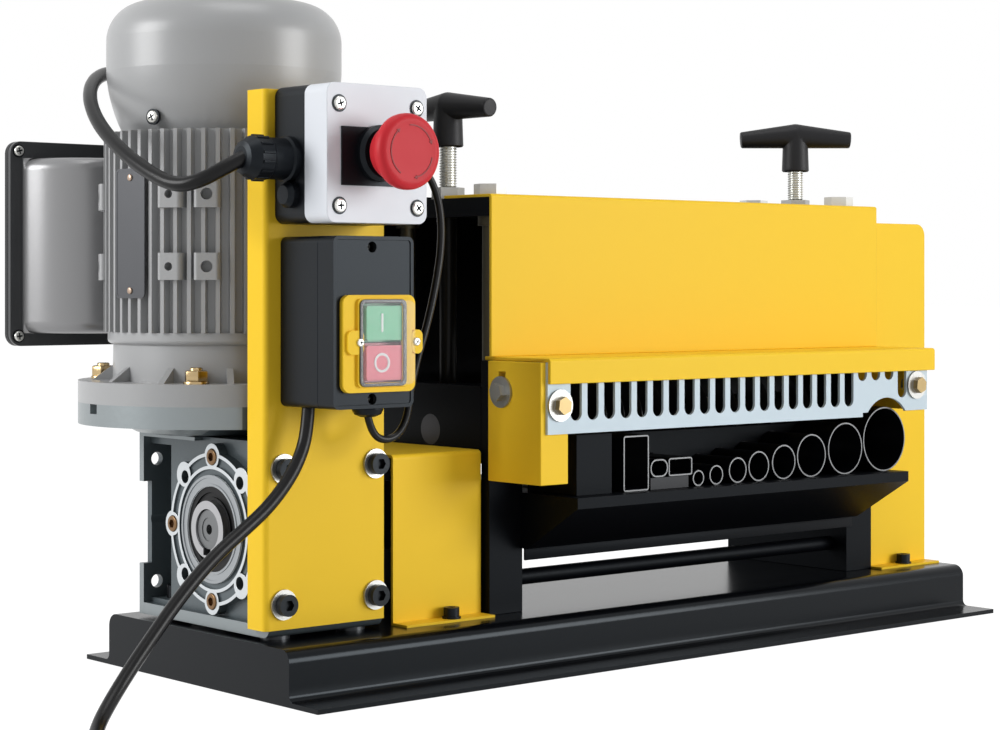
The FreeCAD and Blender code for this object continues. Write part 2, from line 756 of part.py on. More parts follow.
def top_plate():
    plate = block(FRAME_LEFT[0], FRAME_RIGHT[1], -59.5, 59.5, PLATE_Z[0], PLATE_Z[1])
    holes = []
    for x in SCREW_X:
        holes.append(rod_z(SCREW_R + 0.4, PLATE_Z[0] - 1, PLATE_Z[1] + 1, x, 0))
        holes += [rod_z(5.25, PLATE_Z[0] - 1, PLATE_Z[1] + 1, x, y) for y in (-POST_Y, POST_Y)]
    return plate.cut(holes)


def guide_posts():
    posts = []
    for x in SCREW_X:
        for y in (-POST_Y, POST_Y):
            shank = rod_z(5.25, YOKE_TOP - 20, PLATE_Z[1] + 2, x, y)
            collar = rod_z(8.0, PLATE_Z[0] - 6, PLATE_Z[0], x, y)
            head = hex_z(18.5, PLATE_Z[1] + 2, PLATE_Z[1] + 9, x, y, math.radians(12))
            posts.append(join(shank, collar, head))
    return group(posts)


def screw_nuts():
    nuts = []
    for x in SCREW_X:
        nut = hex_z(19.0, PLATE_Z[1], PLATE_Z[1] + 8, x, 0, math.radians(25))
        nuts.append(nut.cut(rod_z(SCREW_R + RUN_FIT, PLATE_Z[1] - 1, PLATE_Z[1] + 9, x, 0)))
    return group(nuts)


def bearing_block(x0, x1, screw_x):
    body = block(x0, x1, -51.5, 51.5, BLOCK_Z[0], BLOCK_Z[1])
    body = soften(body, 3.0, "x", lambda c: True)
    holes = [rod_x(15.0, x0 - 1, x1 + 1, 0, BLADE_Z)]
    holes += [rod_z(5.25 + RUN_FIT, BLOCK_Z[0] - 1, BLOCK_Z[1] + 1, screw_x, y) for y in (-POST_Y, POST_Y)]
    holes.append(rod_z(SCREW_R + RUN_FIT, BLOCK_Z[1] - 10, BLOCK_Z[1] + 1, screw_x, 0))
    ring = rod_x(15.0, x0, x1, 0, BLADE_Z).cut(rod_x(JOURNAL_R + RUN_FIT, x0 - 1, x1 + 1, 0, BLADE_Z))
    return group([body.cut(holes), ring])


def feed_roller():
    points = []
    teeth = 36
    for k in range(teeth):
        a = 2 * math.pi * k / teeth
        h = math.pi / teeth
        points.append((ROLLER_R * math.cos(a), ROLLER_R * math.sin(a)))
        points.append(((ROLLER_R - 1.4) * math.cos(a + h), (ROLLER_R - 1.4) * math.sin(a + h)))
    drum = prism_x(points, 160, 468)
    shaft = rod_x(JOURNAL_R, 84, 508, 0, 0)
    return join(drum, shaft)


def blade_shaft():
    shaft = rod_x(JOURNAL_R, FRAME_LEFT[0], FRAME_RIGHT[1] - 2, 0, BLADE_Z)
    return shaft


def blades():
    discs = []
    for x in BLADE_X:
        disc = spin_x([
            (JOURNAL_R, x - 1.2), (BLADE_R - 5, x - 1.2), (BLADE_R, x - 0.2), (BLADE_R, x + 0.2),
            (BLADE_R - 5, x + 1.2), (JOURNAL_R, x + 1.2),
        ], 0, BLADE_Z)
        discs.append(disc)
    return group(discs)


def blade_spacers():
    sleeves = []
    ends = [FRAME_LEFT[1] + 1.0] + list(BLADE_X) + [FRAME_RIGHT[0] - 1.0]
    for k in range(len(ends) - 1):
        x0 = ends[k] + (1.2 if k else 0)
        x1 = ends[k + 1] - (1.2 if k < len(BLADE_X) else 0)
        sleeve = rod_x(14.0, x0, x1, 0, BLADE_Z).cut(rod_x(JOURNAL_R, x0 - 1, x1 + 1, 0, BLADE_Z))
        sleeves.append(sleeve)
    return group(sleeves)


def t_screw(side):
    x = SCREW_X[side]
    hub = (HUB_LEFT, HUB_RIGHT)[side]
    rod = rod_z(SCREW_R, BLOCK_Z[1] - 9.5, hub + 10, 0, 0)
    boss = spin_z([(0, hub), (9.4, hub), (10.2, hub + 0.8), (9.6, hub + 18), (9.2, hub + 27), (0, hub + 27)], 0, 0)
    parts = [rod, boss, Part.makeSphere(9.25, V(0, 0, hub + 27))]
    for way in (-1, 1):
        start = V(0, 0, hub + 27)
        end = V(41.6 * way, 0, hub + 23.9)
        reach = end.sub(start)
        arm = Part.makeCone(9.25, 6.1, reach.Length, start, reach)
        rims = [e for e in arm.Edges if abs(e.Length - 2 * math.pi * 6.1) < 0.5]
        parts.append(arm.makeFillet(1.3, rims))
    tee = join(*parts)
    tee.rotate(V(0, 0, 0), V(0, 0, 1), TEE_TURN[side])
    tee.translate(V(x, 0, 0))
    return tee


def guard_hood():
    face = block(FRAME_LEFT[0], 504, -62, -59.8, 103, 207)
    flange = block(FRAME_LEFT[0], 504, -62, -14, PLATE_Z[1], PLATE_Z[1] + 2)
    body = join(face, flange)
    body = soften(body, 2.0, "x", lambda c: c.y < -61.9 and c.z > 206.9)
    return body.cut([rod_z(5.25, 203, 209, x, -POST_Y) for x in SCREW_X])


def rear_guard():
    face = block(FRAME_LEFT[0], 504, 60, 62, 60, 207)
    flange = block(FRAME_LEFT[0], 504, 14, 62, PLATE_Z[1], PLATE_Z[1] + 2)
    body = join(face, flange)
    body = soften(body, 2.0, "x", lambda c: c.y > 61.9 and c.z > 206.9)
    return body.cut([rod_z(5.25, 203, 209, x, POST_Y) for x in SCREW_X])


SHELF_FRONT = -115.0


def front_shelf():
    shelf = block(131, 506, SHELF_FRONT, -52, LEG_TOP, LEG_TOP + SHEET)
    lip = block(131, 506, SHELF_FRONT, SHELF_FRONT + SHEET, 87, LEG_TOP + SHEET)
    body = join(shelf, lip)
    body = soften(body, 2.4, "x", lambda c: c.y < SHELF_FRONT + 0.1 and c.z > LEG_TOP + 2)
    return body.cut(block(499.5, 507, -56.5, -51, LEG_TOP - 1, LEG_TOP + SHEET + 1))


PLATE_Y = (SHELF_FRONT + 2.5, SHELF_FRONT + 4.5)
PLATE_BOLTS = ((140.8, 73.5), (487.0, 76.6))


def slotted_plate():
    y0, y1 = PLATE_Y
    plate = block(131, 500, y0, y1, 55.5, LEG_TOP)
    tools = []
    for k in range(SLOT_COUNT):
        x = SLOT_FIRST + SLOT_PITCH * k
        low = 63.5
        if 19 <= k <= 21:
            low = 81.0
        if k == 22:
            low = 68.0
        r = SLOT_WIDE / 2.0
        tools.append(block(x - r, x + r, y0 - 1, y1 + 1, low + r, 97))
        tools.append(rod_y(r, y0 - 1, y1 + 1, x, low + r))
    tools.append(rod_y(26.5, y0 - 1, y1 + 1, 455.0, 42.0))
    tools.append(block(429, 500.5, y0 - 1, y1 + 1, 55.0, 58.5))
    tools += [rod_y(3.3, y0 - 1, y1 + 1, x, z) for x, z in PLATE_BOLTS]
    return plate.cut(tools)


def plate_bolts():
    bolts = []
    y0 = PLATE_Y[0]
    for x, z in PLATE_BOLTS:
        washer = rod_y(10.0, y0 - 1.6, y0, x, z)
        head = hex_y(10.0, y0 - 5.8, y0 - 1.6, x, z, 0.4)
        shank = rod_y(3.0, y0 - 1.6, PLATE_Y[1] + 9, x, z)
        nut = hex_y(10.0, PLATE_Y[1] + SHEET, PLATE_Y[1] + SHEET + 5, x, z, 0.4)
        bolts.append(join(washer, head, shank, nut))
    return group(bolts)


def left_bracket():
    y0 = PLATE_Y[1]
    side = block(127, 127 + SHEET, y0, -60, 24, LEG_TOP)
    front = block(127, 150, y0, y0 + SHEET, 24, LEG_TOP)
    rear = block(127, 148, -60 - SHEET, -60, 24, LEG_TOP)
    body = join(side, front, rear)
    slots = [block(137.5, 144.1, y0 - 1, y0 + 4, 64, 90)]
    slots.append(block(120, 131, -76.7, -70.1, 74, 94))
    return body.cut(slots)


def right_bracket():
    y0 = PLATE_Y[1]
    side = block(497.5, 497.5 + SHEET, y0, -60, 58, LEG_TOP)
    front = block(478, 500, y0, y0 + SHEET, 58, LEG_TOP)
    rear = block(478, 500, -60 - SHEET, -60, 66, LEG_TOP)
    body = join(side, front, rear)
    return body.cut([block(483.7, 490.3, y0 - 1, y0 + 4, 66, 92)])


def bracket_bolt():
    y = -73.4
    z = 81.0
    washer = rod_x(10.0, 125.4, 127.0, y, z)
    head = hex_x(10.0, 121.2, 125.4, y, z, 0.3)
    shank = rod_x(3.0, 121.4, 135.0, y, z)
    nut = hex_x(10.0, 129.5, 134.5, y, z, 0.3)
    return join(washer, head, shank, nut)


def round_tube(x, d):
    wall = 1.3
    z = TUBE_FLOOR + d / 2.0
    return rod_y(d / 2.0, TUBE_FRONT, TUBE_BACK, x, z).cut(
        rod_y(d / 2.0 - wall, TUBE_FRONT - 1, TUBE_BACK + 1, x, z))


def small_guide_tubes():
    return group([round_tube(x, d) for x, d in ROUND_TUBES[:3]])


def middle_guide_tubes():
    return group([round_tube(x, d) for x, d in ROUND_TUBES[3:6]])


def large_guide_tubes():
    return group([round_tube(x, d) for x, d in ROUND_TUBES[6:]])


def square_channel(x0, x1, z0, z1, r):
    wall = 1.3
    outer = soften(block(x0, x1, TUBE_FRONT, TUBE_BACK, z0, z1), r, "y")
    inner = block(x0 + wall, x1 - wall, TUBE_FRONT - 1, TUBE_BACK + 1, z0 + wall, z1 - wall)
    return outer.cut(soften(inner, max(r - wall, 0.6), "y"))


def flat_channels():
    tall = square_channel(204.0, 227.0, TUBE_FLOOR, 51.4, 2.0)
    oval = square_channel(228.2, 244.4, 23.0, 35.0, 5.6)
    low = square_channel(244.8, 267.0, 23.0, 35.2, 2.0)
    rest = block(228.2, 263.4, TUBE_FRONT, TUBE_BACK, TUBE_FLOOR, 23.0)
    return group([tall, oval, low, rest])


def end_block():
    return block(163, 193.8, TUBE_FRONT, TUBE_BACK, TUBE_FLOOR, 53.8)


def backing_plate():
    y0 = TUBE_BACK - 4.0
    y1 = TUBE_BACK - 2.0
    plate = block(156.5, 476, y0, y1, TUBE_FLOOR - 0.5, 50.0)
    gap = 0.4
    holes = []
    for x, d in ROUND_TUBES:
        holes.append(rod_y(d / 2.0 + gap, y0 - 1, y1 + 1, x, TUBE_FLOOR + d / 2.0))
    holes.append(block(163 - gap, 193.8 + gap, y0 - 1, y1 + 1, TUBE_FLOOR, 54))
    holes.append(block(204.0 - gap, 227.0 + gap, y0 - 1, y1 + 1, TUBE_FLOOR, 54))
    holes.append(block(228.2 - gap, 267.0 + gap, y0 - 1, y1 + 1, TUBE_FLOOR, 35.2 + gap))
    return plate.cut(holes)


def feed_tray():
    thick = 2.5
    top = TUBE_FLOOR
    plate = block(156.5, 476, -115, -60, top - thick, top)
    tongue = block(156.5, 471.5, -60, -40, top - thick, top)
    lip = block(156.5, 476, -115, -115 + thick, top - 7, top)
    slope = prism_x([(-115, top - 7), (-67, -21), (-67, -18), (-112.5, top - 5)], 156.5, 476)
    left = prism_x([(-115, top), (-115, top - 7), (-67, -21), (-60, -21), (-60, top)], 154.0, 156.5)
    right = prism_x([(-115, top), (-115, top - 7), (-67, -21), (-60, -21), (-60, top)], 473.5, 476.0)
    return join(plate, tongue, lip, slope, left, right, backing_plate())


def right_end_cover():
    x0 = 500.0
    x1 = 567.0
    top = 195.0
    outer = block(x0, x1, -56, 56, DECK_TOP, top)
    outer = soften(outer, 9.0, "y", lambda c: c.z > top - 0.1 and c.x > x1 - 0.1)
    inner = block(x0 - 1, x1 - 2, -54, 54, DECK_TOP - 1, top - 2)
    inner = soften(inner, 7.0, "y", lambda c: c.z > top - 2.1 and c.x > x1 - 2.1)
    shell = outer.cut(inner)
    foot = DECK_TOP + 1.5
    flanges = [block(x0, x1, -70, -54, DECK_TOP, foot), block(x0, x1, 54, 70, DECK_TOP, foot)]
    holes = [rod_z(3.3, DECK_TOP - 1, foot + 1, 534.0, y) for y in (-62.5, 62.5)]
    return join(shell, *flanges).cut(holes)


def terminal_outline(inset):
    half = 77.0 - inset
    front = 128.0 + inset
    return [(-half, 172.0), (-half, 168.0), (-half + 7.5, 148.0), (-half + 22, 135.0), (-36, front), (36, front),
            (half - 22, 135.0), (half - 7.5, 148.0), (half, 168.0), (half, 172.0)]


def arc_prism(inset, y_end, z0, z1):
    half = 77.0 - inset
    front = 128.0 + inset
    a = V(-half, y_end, z0)
    b = V(-half, 170.0, z0)
    c = V(-half + 13.0, 144.0, z0)
    d = V(-32, front, z0)
    e = V(32, front, z0)
    f = V(half - 13.0, 144.0, z0)
    g = V(half, 170.0, z0)
    h = V(half, y_end, z0)
    edges = [Part.LineSegment(a, b), Part.Arc(b, c, d), Part.LineSegment(d, e), Part.Arc(e, f, g),
             Part.LineSegment(g, h), Part.LineSegment(h, a)]
    face = Part.Face(Part.Wire([s.toShape() for s in edges]))
    return face.extrude(V(0, 0, z1 - z0))


def terminal_box_shell():
    outer = arc_prism(0.0, 174.0, 117.0, 232.0)
    inner = arc_prism(2.5, 177.0, 119.5, 229.5)
    flange = soften(block(-86, 86, 172.0, 175.0, 108.6, 243.0), 8.0, "y")
    return join(outer, flange).cut(inner)


def terminal_box_lid():
    return soften(block(-86, 86, 175.0, BACK_END, 108.6, 243.0), 8.0, "y")


TERMINAL_GLAND = (10.0, 150.0)


def terminal_gland():
    x, y = TERMINAL_GLAND
    return spin_z([(0, 232), (11, 232), (11, 237), (10, 238), (10, 246), (7, 251), (0, 251)], x, y)


LEAD_ROUTE = (
    (-69.0, -79.0, 223.5),
    (-84.0, -76.0, 215.5),
    (-95.0, -67.5, 208.0),
    (-101.5, -53.0, 205.5),
    (LEAD_LEFT, -29.0, 213.5),
    (LEAD_LEFT, 4.0, 228.2),
    (-97.5, 43.0, 248.0),
    (-85.0, 74.0, 266.5),
    (-63.0, 104.0, 280.7),
    (-37.0, 125.0, 288.0),
    (-13.0, 137.0, 284.5),
    (3.0, 145.0, 270.5),
    (9.0, 149.0, 250.0),
)

LINK_ROUTE = (
    (46.0, -84.0, 222.0),
    (54.5, -86.0, 218.5),
    (61.0, -87.5, 209.0),
    (65.5, -88.0, 193.0),
    (66.0, -88.0, 173.0),
    (61.5, -88.5, 150.0),
    (54.5, -89.0, 126.0),
    (46.0, -89.5, 104.0),
    (40.0, -90.0, 84.0),
    (38.0, -90.0, 69.0),
    (31.0, -90.0, 58.5),
    (20.5, -90.0, 55.5),
    (11.0, -90.0, 60.5),
    (8.0, -90.0, 71.5),
)

CORD_EXIT = (-26.3, -78.0, SW_Z[0])
COIL_CENTRE = (-206.0, -254.0)
COIL_RISE = 5.2
COIL_LAYER = 8.8
COIL_PITCH = 8.8
COIL_OUT = 53.0
COIL_START = 8.0
COIL_TURNS = 4.5

MAINS_ROUTE = (
    CORD_EXIT,
    (-27.6, -78.5, 66.0),
    (-31.5, -80.0, 53.0),
    (-41.5, -82.0, 37.3),
    (-58.5, -84.0, 20.8),
    (-78.5, -86.0, 8.0),
    (-95.2, -88.0, -2.0),
    (-111.2, -90.0, -14.0),
    (-128.2, -93.0, -28.5),
    (-144.5, -97.0, -43.5),
    (-160.0, -101.5, -57.5),
    (-175.5, -107.5, -71.5),
    (-190.0, -117.0, -82.5),
    (-201.5, -131.5, -88.6),
    (-206.0, -149.0, -90.4),
    (-203.0, -165.0, -90.4),
    (-194.5, -178.0, -90.4),
    (-181.5, -187.0, -90.4),
    (-168.8, -196.0, -90.2),
    (-160.4, -209.0, -90.0),
)


def coil_point(u):
    radius = COIL_OUT - COIL_PITCH * min(u, COIL_TURNS - u)
    s = min(1.0, max(0.0, (u - (COIL_TURNS - 0.5) / 2.0) / 0.5))
    rise = s - math.sin(2 * math.pi * s) / (2 * math.pi)
    a = math.radians(COIL_START) - 2 * math.pi * u
    return V(COIL_CENTRE[0] + radius * math.cos(a), COIL_CENTRE[1] + radius * math.sin(a),
             FLOOR + COIL_RISE + COIL_LAYER * rise)


def coil_way(u):
    step = 0.004
    ahead = coil_point(min(u + step, COIL_TURNS))
    behind = coil_point(max(u - step, 0.0))
    way = ahead.sub(behind)
    if u < 1e-6 or u > COIL_TURNS - 1e-6:
        way.z = 0.0
    way.normalize()
    return way


def arc_from(p, corner, q):
    middle = p.add(q).multiply(0.5)
    half = corner.sub(p).Length
    chord = q.sub(p).Length / 2.0
    rise = corner.sub(middle)
    if rise.Length < 1e-6:
        return Part.LineSegment(p, q).toShape()
    turn = 2.0 * math.acos(min(1.0, chord / half))
    radius = half / math.tan(turn / 2.0)
    sag = radius * (1.0 - math.cos(turn / 2.0))
    rise.normalize()
    return Part.Arc(p, middle.add(rise.multiply(sag)), q).toShape()


def biarc(p0, t0, p1, t1):
    v = p1.sub(p0)
    t = t0.add(t1)
    a = 2.0 * (1.0 - t0.dot(t1))
    vt = v.dot(t)
    vv = v.dot(v)
    if a < 1e-9:
        d = vv / (2.0 * vt)
    else:
        d = (-vt + math.sqrt(vt * vt + a * vv)) / a
    q0 = p0.add(V(t0).multiply(d))
    q1 = p1.sub(V(t1).multiply(d))
    middle = q0.add(q1).multiply(0.5)
    return [arc_from(p0, q0, middle), arc_from(middle, q1, p1)]


def sweep(edges, diameter):
    path = Part.Wire(edges)
    start = edges[0].valueAt(edges[0].FirstParameter)
    way = edges[0].tangentAt(edges[0].FirstParameter)
    ring = Part.Wire(Part.makeCircle(diameter / 2.0, start, way))
    solid = path.makePipeShell([ring], True, False)
    want = math.pi * diameter * diameter / 4.0 * path.Length
    print("  length %.1f volume %.0f of %.0f valid %s" % (path.Length, solid.Volume, want, solid.isValid()))
    return solid


def cord_tube(route, diameter, name):
    points = [V(*p) for p in route]
    edges = []
    radii = []
    here = points[0]
    for k in range(1, len(points) - 1):
        back = points[k - 1].sub(points[k])
        ahead = points[k + 1].sub(points[k])
        short = min(back.Length, ahead.Length)
        turn = math.pi - back.getAngle(ahead)
        cut_back = 0.45 * short
        radii.append(cut_back / math.tan(turn / 2.0))
        back.normalize()
        ahead.normalize()
        p = points[k].add(back.multiply(cut_back))
        q = points[k].add(ahead.multiply(cut_back))
        edges.append(Part.LineSegment(here, p).toShape())
        edges.append(arc_from(p, points[k], q))
        here = q
    edges.append(Part.LineSegment(here, points[-1]).toShape())
    print(name, "radii", " ".join("%.0f" % r for r in radii))
    return sweep(edges, diameter)


def motor_lead():
    return cord_tube(LEAD_ROUTE, LEAD_D, "motor_lead")


def link_lead():
    return cord_tube(LINK_ROUTE, LINK_D, "link_lead")


def coil_start():
    p = coil_point(0.0)
    return p.sub(coil_way(0.0).multiply(MAINS_D))


def coil_end():
    p = coil_point(COIL_TURNS)
    return p.add(coil_way(COIL_TURNS).multiply(MAINS_D))


def mains_cord():
    start = coil_start()
    way = coil_way(0.0)
    before = start.sub(V(way).multiply(16.0))
    route = list(MAINS_ROUTE) + [tuple(before), tuple(start)]
    return cord_tube(route, MAINS_D, "mains_cord")


def mains_cord_coil():
    edges = [Part.LineSegment(coil_start(), coil_point(0.0)).toShape()]
    steps = int(COIL_TURNS * 4)
    for k in range(steps):
        u0 = k / 4.0
        u1 = (k + 1) / 4.0
        edges += biarc(coil_point(u0), coil_way(u0), coil_point(u1), coil_way(u1))
    edges.append(Part.LineSegment(coil_point(COIL_TURNS), coil_end()).toShape())
    gap = 1e9
    samples = [coil_point(COIL_TURNS * k / 360.0) for k in range(361)]
    for i in range(len(samples)):
        for j in range(i + 30, len(samples)):
            gap = min(gap, samples[i].sub(samples[j]).Length - MAINS_D)
    print("coil least gap to itself %.2f" % gap)
    return sweep(edges, MAINS_D)


def coil_tie():
    loops = COIL_PITCH * COIL_TURNS / 4.0
    mid = COIL_OUT - loops
    half = loops + MAINS_D / 2.0 + 0.6
    low = FLOOR + 0.05
    bottom = FLOOR + COIL_RISE - MAINS_D / 2.0 - 0.1
    top = FLOOR + COIL_RISE + COIL_LAYER + MAINS_D / 2.0 + 0.4
    outer = block(mid - half - 1.2, mid + half + 1.2, -5, 5, low, top + 1.2)
    outer = soften(outer, 3.0, "y", lambda c: True)
    inner = soften(block(mid - half, mid + half, -6, 6, bottom, top), 1.8, "y")
    tie = outer.cut(inner)
    tie.rotate(V(0, 0, 0), V(0, 0, 1), 205)
    tie.translate(V(COIL_CENTRE[0], COIL_CENTRE[1], 0))
    return tie


def plug_frame():
    way = coil_way(COIL_TURNS)
    return coil_end(), math.degrees(math.atan2(way.y, way.x))


def put_on_plug(shape):
    start, angle = plug_frame()
    shape.rotate(V(0, 0, 0), V(0, 0, 1), angle)
    shape.translate(start)
    return shape


def mains_plug():
    relief = spin_x([(0, 0), (5.0, 0), (5.0, 3), (6.6, 26), (7.5, 30), (0, 30)], 0, 0)
    body = block(26, 60, -13, 13, -11.5, 11.5)
    body = soften(body, 5.0, "x")
    face = block(58, 64, -15, 15, -13.5, 13.5)
    face = soften(face, 5.5, "x")
    return put_on_plug(join(relief, body, face))


def plug_pins():
    flats = [block(64, 82, -7.2, -5.7, -3.2, 3.2), block(64, 82, 5.7, 7.2, -3.2, 3.2)]
    earth = rod_x(2.4, 64, 85, 0, -8.0)
    return put_on_plug(group(flats + [earth]))


PIECES = {
    "base_tray": base_tray,
    "gearbox_housing": gearbox_housing,
    "output_covers": lambda: group([output_cover(-1), output_cover(1)]),
    "gear_motor_bolts": lambda: pool(cover_bolts(), flange_bolts(), flange_nuts()),
    "output_seals": output_seals,
    "input_flange": input_flange,
    "motor_end_shield": motor_end_shield,
    "motor_body": motor_body,
    "fan_cover": fan_cover,
    "cooling_fan": cooling_fan,
    "rotor_shaft": rotor_shaft,
    "worm": worm,
    "worm_wheel": worm_wheel,
    "drive_shaft": drive_shaft,
    "shaft_coupling": shaft_coupling,
    "shaft_bearings": lambda: pool(output_bearings(), roller_bearings()),
    "post": post,
    "black_socket_bolts": lambda: pool(post_bolts(), base_screws(), gearbox_foot_bolts()),
    "washers": lambda: pool(post_washers(), gearbox_washers()),
    "estop_rear_housing": estop_rear_housing,
    "estop_lid": estop_lid,
    "estop_collar": lambda: group([estop_legend_plate(), estop_collar()]),
    "estop_plunger": estop_plunger,
    "estop_mushroom": estop_mushroom,
    "switch_modules": lambda: group([switch_module(), estop_contact_block()]),
    "cable_glands": lambda: group(estop_glands().Solids + [switch_gland(), terminal_gland()]),
    "switch_rear_housing": switch_rear_housing,
    "switch_cover": switch_cover,
    "small_screws": lambda: pool(estop_screws(), switch_screws(), bezel_screws(), fan_cover_screws()),
    "switch_bezel": switch_bezel,
    "green_button": green_button,
    "red_button": red_button,
    "coupling_cover": coupling_cover,
    "side_frames": side_frames,
    "top_plate": top_plate,
    "guide_posts": guide_posts,
    "bearing_blocks": lambda: pool(
        bearing_block(*FRAME_LEFT, SCREW_X[0]), bearing_block(*FRAME_RIGHT, SCREW_X[1])),
    "feed_roller": feed_roller,
    "blade_shaft": blade_shaft,
    "blade_stack": lambda: pool(blades(), blade_spacers()),
    "t_screw_left": lambda: t_screw(0),
    "t_screw_right": lambda: t_screw(1),
    "guard_hood": guard_hood,
    "rear_guard": rear_guard,
    "front_shelf": front_shelf,
    "slotted_plate": slotted_plate,
    "plate_bolts": lambda: group(plate_bolts().Solids + [bracket_bolt()] + screw_nuts().Solids),
    "plate_brackets": lambda: group([left_bracket(), right_bracket()]),
    "small_guide_tubes": small_guide_tubes,
    "middle_guide_tubes": middle_guide_tubes,
    "large_guide_tubes": large_guide_tubes,
    "flat_channels": lambda: group(flat_channels().Solids + [end_block()]),
    "feed_tray": feed_tray,
    "right_end_cover": right_end_cover,
    "terminal_box_shell": terminal_box_shell,
    "terminal_box_lid": terminal_box_lid,
    "fixed_leads": lambda: group([motor_lead(), link_lead()]),
    "mains_cord": mains_cord,
    "mains_cord_coil": mains_cord_coil,
    "mains_plug": lambda: group([mains_plug(), coil_tie()] + plug_pins().Solids),
}


def main():
    os.makedirs("parts", exist_ok=True)
    for name in sorted(PIECES):
        shape = PIECES[name]()
        shape.translate(PLACE)
        good = shape.isValid() and all(s.isClosed() and s.Volume > 0 for s in shape.Solids)
        if not good or not shape.Solids:
            print("CHECK", name, shape.isValid(), len(shape.Solids))
        shape.exportStep("parts/" + name + ".step")
    print(len(PIECES), "pieces, placed by", PLACE)


main()
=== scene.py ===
from math import atan2, cos, pi, radians, sin

import bpy
from mathutils import Matrix, Vector


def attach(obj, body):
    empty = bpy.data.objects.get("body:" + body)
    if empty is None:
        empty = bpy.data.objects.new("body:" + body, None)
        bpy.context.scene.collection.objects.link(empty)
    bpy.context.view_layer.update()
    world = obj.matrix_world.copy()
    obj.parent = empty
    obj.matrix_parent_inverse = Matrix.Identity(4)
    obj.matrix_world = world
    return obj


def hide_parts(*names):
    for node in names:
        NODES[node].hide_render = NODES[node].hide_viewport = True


bl_info = {
    "name": "Wire Stripping Machine",
    "version": (1, 0, 0),
    "blender": (4, 5, 0),
    "location": "View3D > Sidebar > Machine",
    "description": "Dresses the wire stripping machine's frame with its materials, cords and small pieces",
    "category": "Object",
}

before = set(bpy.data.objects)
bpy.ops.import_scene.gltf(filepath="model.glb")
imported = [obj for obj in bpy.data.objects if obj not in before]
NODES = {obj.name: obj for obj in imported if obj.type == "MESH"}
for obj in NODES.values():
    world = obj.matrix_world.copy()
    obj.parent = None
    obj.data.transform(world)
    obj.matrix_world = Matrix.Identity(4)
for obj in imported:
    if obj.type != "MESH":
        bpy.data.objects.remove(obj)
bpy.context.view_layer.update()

# Places below are in mm from the gearbox's output axis, as the machine is measured;
# row() turns them into the frame's metres and mm() turns them back.
SHIFT = Vector((-229.8, -16.0, 95.0))
FLOOR = -95.0


def row(x, y, z):
    return (Vector((x, y, z)) + SHIFT) / 1000.0


def mm(place):
    return Vector(place) * 1000.0 - SHIFT


# Gearbox and motor
MOTOR_Y = 50.0
COVER_FACE = 42.5
COVER_BOLT_R = 44.0
FLANGE_BOLT_R = 79.0
FLANGE_TOP = 89.0
FOOT_HOLES = (-40.0, 38.0)
FOOT_HOLE_X = -32.1
FAN_SCREW_R = 69.2
FAN_SCREW_Z = 251.5
FAN_SCREW_ANGLES = (198, 288, 378, 468)
TERMINAL_Z = (117.0, 232.0)
TERMINAL_LID_Y = 172.0
NAMEPLATE_R = 76.3
NAMEPLATE_ANGLE = 188.2
NAMEPLATE_Z = (140.6, 220.0)

# Switch boxes, where a box's face is given as (left, right, low, high)
BOX_FACE = -115.0
STOP_AXIS = (-3.5, 225.0)
COVER_SEAM = -100.6
COVER_BOX = (-36.0, 22.6, 77.0, 177.0)
COVER_HOLLOW = (-33.0, 19.6, 80.0, 174.0)
BUTTON_HOLE = (-17.0, 17.0, 92.0, 138.0)
LINER_BOX = (-21.8, 17.9, 89.6, 140.8)
LINER_HOLE = (-18.4, 10.8, 91.4, 138.8)
LINER_Y = (-120.3, -118.4)
FRAME_BOX = (-20.8, 13.2, 89.9, 140.4)
FRAME_HOLE = (-18.6, 11.0, 91.8, 138.4)
FRAME_FRONT = -121.2
CLEAR_BOX = (-20.0, 18.6, 90.6, 139.8)
CLEAR_Y = (-123.6, -121.3)
BUTTON_FACE = -119.4
ESTOP_SCREWS = ((-31.4, 253.0), (25.2, 252.6), (-31.2, 194.3), (25.6, 193.9))
BEZEL_SCREWS = ((-20.5, 115.5), (20.8, 115.5))
SWITCH_SCREWS = ((-7.6, 170.7), (-7.6, 82.5))
LID_SCREWS = ((-80.0, 236.6), (80.0, 236.6), (-80.0, 115.2), (80.0, 115.2))
GLAND_AXIS = (-78.0, 222.0)
GLAND_RIBS = 14

# Feed channels and tray
TUBE_FRONT = -104.0
END_BLOCK_RIGHT = 200.0
REST_X = (228.0, 263.6)
REST_TOP = 22.9
TRAY_X = (156.6, 475.9)

# Tee screws
SCREW_PITCH = 1.75
SCREW_X = (143.0, 483.0)
HUB = (240.0, 234.6)
ROD_FOOT = 74.5
THREAD_FOOT = 196.0

# Cords
MAINS_ROUTE = (
    (-26.3, -78.0, 77.0), (-27.6, -78.5, 66.0), (-31.5, -80.0, 53.0), (-41.5, -82.0, 37.3),
    (-58.5, -84.0, 20.8), (-78.5, -86.0, 8.0), (-95.2, -88.0, -2.0), (-111.2, -90.0, -14.0),
    (-128.2, -93.0, -28.5), (-144.5, -97.0, -43.5), (-160.0, -101.5, -57.5), (-175.5, -107.5, -71.5),
    (-190.0, -117.0, -82.5), (-201.5, -131.5, -88.6), (-206.0, -149.0, -90.4), (-203.0, -165.0, -90.4),
    (-194.5, -178.0, -90.4), (-181.5, -187.0, -90.4), (-168.8, -196.0, -90.2), (-160.4, -209.0, -90.0),
)
COIL_CENTRE = (-206.0, -254.0)
COIL_RISE = 5.2
COIL_LAYER = 8.8
COIL_PITCH = 8.8
COIL_OUT = 53.0
COIL_START = 8.0
COIL_TURNS = 4.5
COIL_POINTS = 16
# A smooth line cuts the corners of its points, so the coil's points lie this much further out
COIL_WIDEN = 1.008

